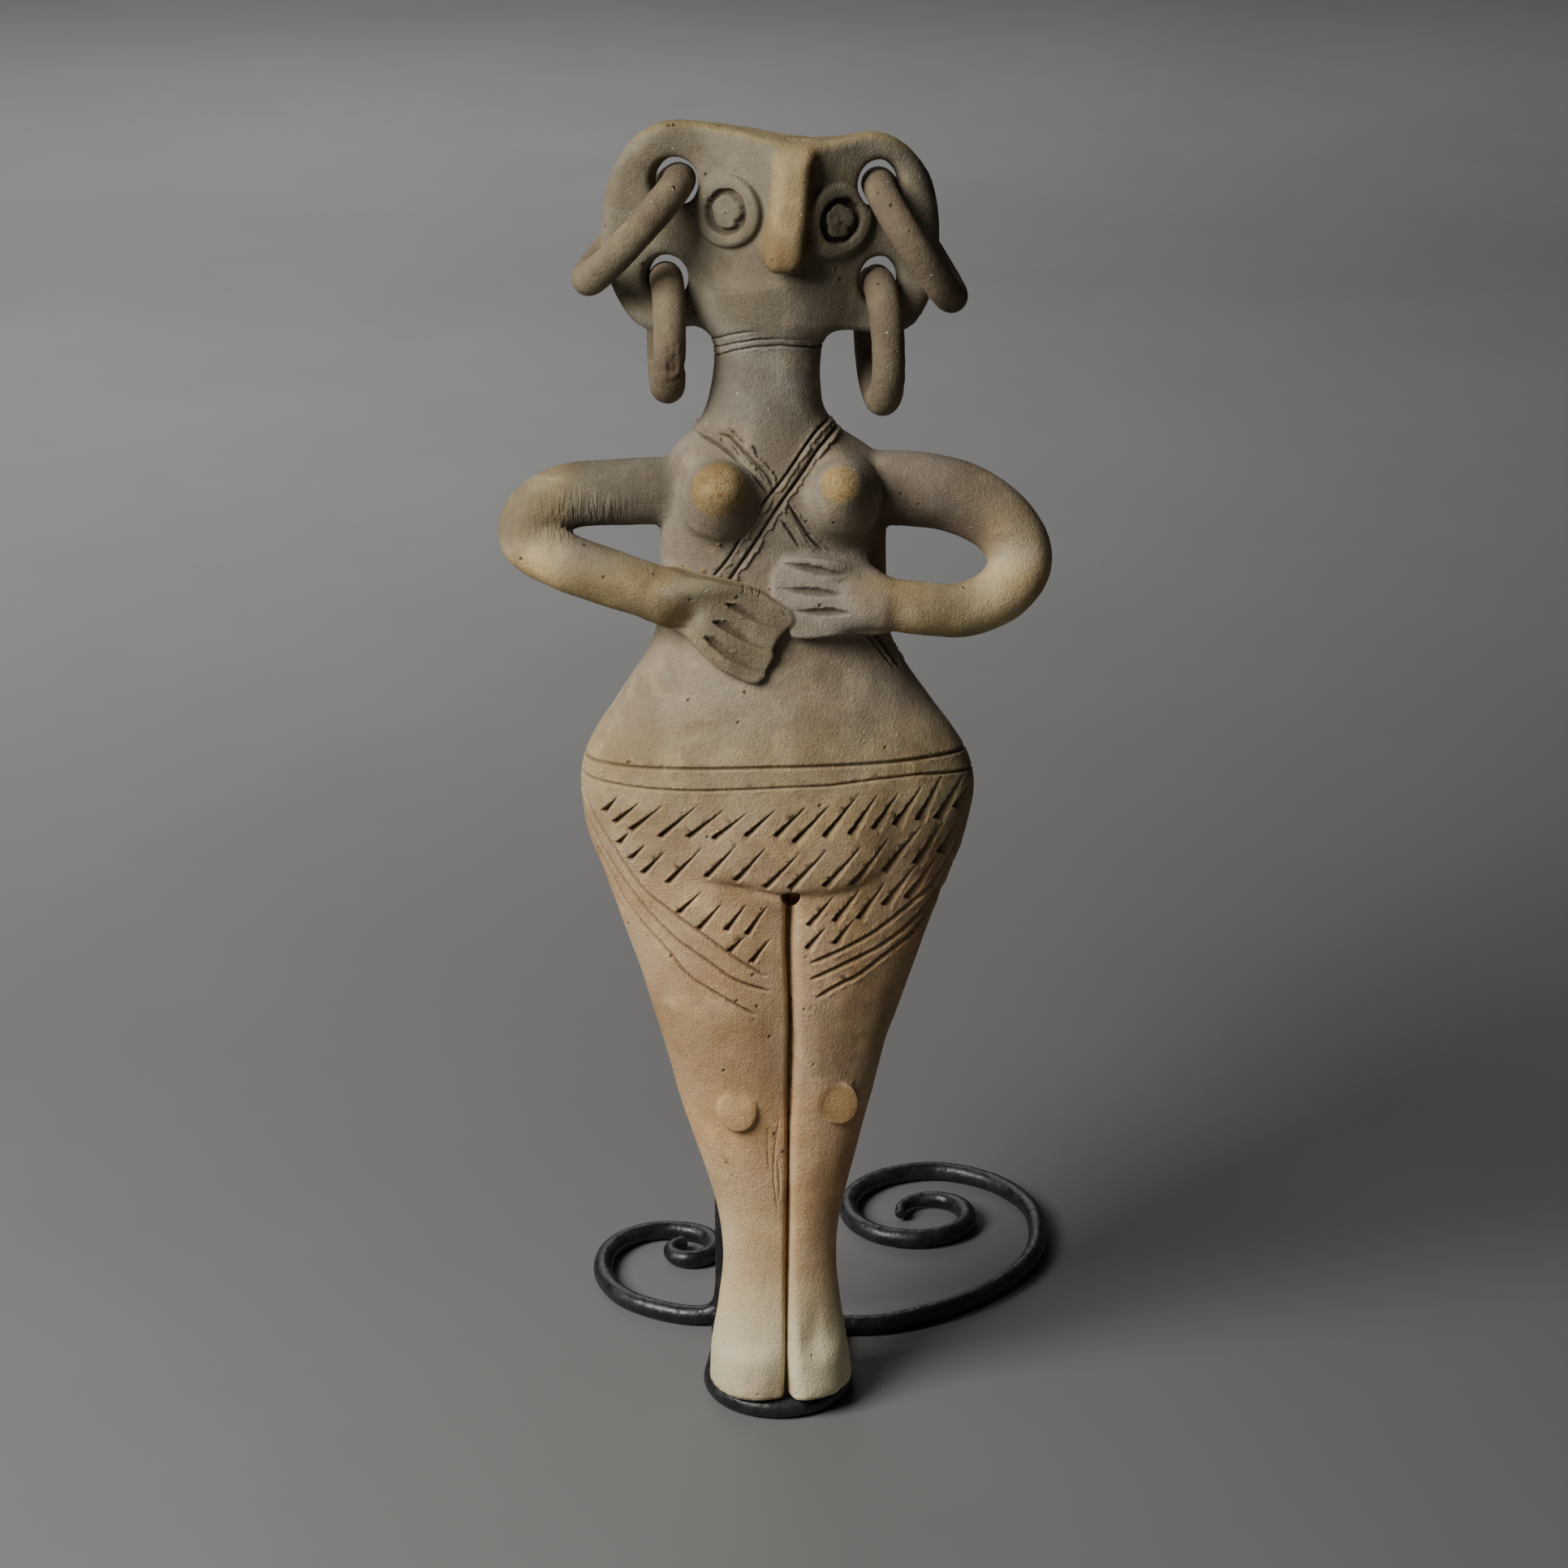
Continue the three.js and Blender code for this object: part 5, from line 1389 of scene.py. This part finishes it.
# Its second channel darkens the cuts and carries a painted shadow beside the nose.
paint(figure, "wear_and_shade", (*wear_and_shade, np.ones(len(depth))))
paint(figure, "body", body)
paint(figure, "tint", tint)
thinned(figure, FIGURE_TRIANGLES)

for name, centre, hang, yaw, radius, seam, seed in EAR_RINGS:
    place, torn = ring_surface(centre, hang, yaw, radius, seam, seed)
    ring = piece_from(name.replace("ear_", "clay_"), stood(place),
                      ring_faces(RING_STEPS, TUBE_STEPS, True), RING_CLAY, name)
    paint(ring, "wear_and_shade", (torn, torn, torn, np.ones(len(torn))))

right, right_faces = rod_surface(right_rod_line(), 0.42, 31)
piece_from("right_scroll_rod", right, right_faces, IRON, "stand_right_scroll")
left, left_faces = rod_surface(left_rod_line(), 0.2, 41)
piece_from("left_scroll_rod", left, left_faces, IRON, "stand_left_scroll")
bead, bead_faces = weld_surface([-17.6, 58.2, 4.4], [1, 0.2, 0.2], [4.2, 1.7, 2.0], 51)
piece_from("weld_behind_heels", bead, bead_faces, IRON)
bead, bead_faces = weld_surface([16.4, 50.6, 3.4], [1, 0, 0], [3.6, 1.6, 2.2], 52)
piece_from("weld_at_loop_end", bead, bead_faces, IRON)


# Floor, light and camera

def lay_floor():
    half = 6.0
    mesh = bpy.data.meshes.new("floor")
    mesh.from_pydata([(-half, -half, 0), (half, -half, 0), (half, half, 0), (-half, half, 0)], [],
                     [(0, 1, 2, 3)])
    mesh.materials.append(studio_floor())
    floor = bpy.data.objects.new("floor", mesh)
    bpy.context.scene.collection.objects.link(floor)


def soft_box(name, place, aim, size, power, colour=(1, 1, 1)):
    light = bpy.data.lights.new(name, "AREA")
    light.shape = "RECTANGLE"
    light.size, light.size_y = size
    light.energy = power
    light.color = colour
    lamp = bpy.data.objects.new(name, light)
    lamp.location = place
    lamp.rotation_euler = (Vector(aim) - Vector(place)).to_track_quat("-Z", "Y").to_euler()
    bpy.context.scene.collection.objects.link(lamp)


def light_scene():
    soft_box("window", (-0.92, -0.69, 1.10), (0, 0, 0.14), (0.80, 0.80), 33.0, (1.0, 0.985, 0.955))
    soft_box("fill", (-0.35, 1.15, 0.95), (0, 0, 0.16), (0.9, 0.9), 4.0)
    world = bpy.data.worlds.new("soft_room")
    world.use_nodes = True
    world.node_tree.nodes["Background"].inputs["Color"].default_value = (0.92, 0.96, 1.0, 1)
    world.node_tree.nodes["Background"].inputs["Strength"].default_value = 0.036
    bpy.context.scene.world = world


IMAGE_SIDE = 1932.0
FOCAL_PIXELS = 6397.0
CAMERA_PITCH = 21.6
SENSOR = 36.0


def set_camera():
    camera = bpy.data.cameras.new("camera")
    camera.sensor_width = SENSOR
    camera.lens = SENSOR * FOCAL_PIXELS / IMAGE_SIDE
    camera.clip_start, camera.clip_end = 0.05, 30.0
    holder = bpy.data.objects.new("camera", camera)
    holder.location = Vector((2.1 + MIDDLE[0], -1371.6 + MIDDLE[1], 746.3)) * MM
    holder.rotation_euler = (np.radians(90 - CAMERA_PITCH), 0, 0)
    bpy.context.scene.collection.objects.link(holder)
    bpy.context.scene.camera = holder


lay_floor()
light_scene()
set_camera()
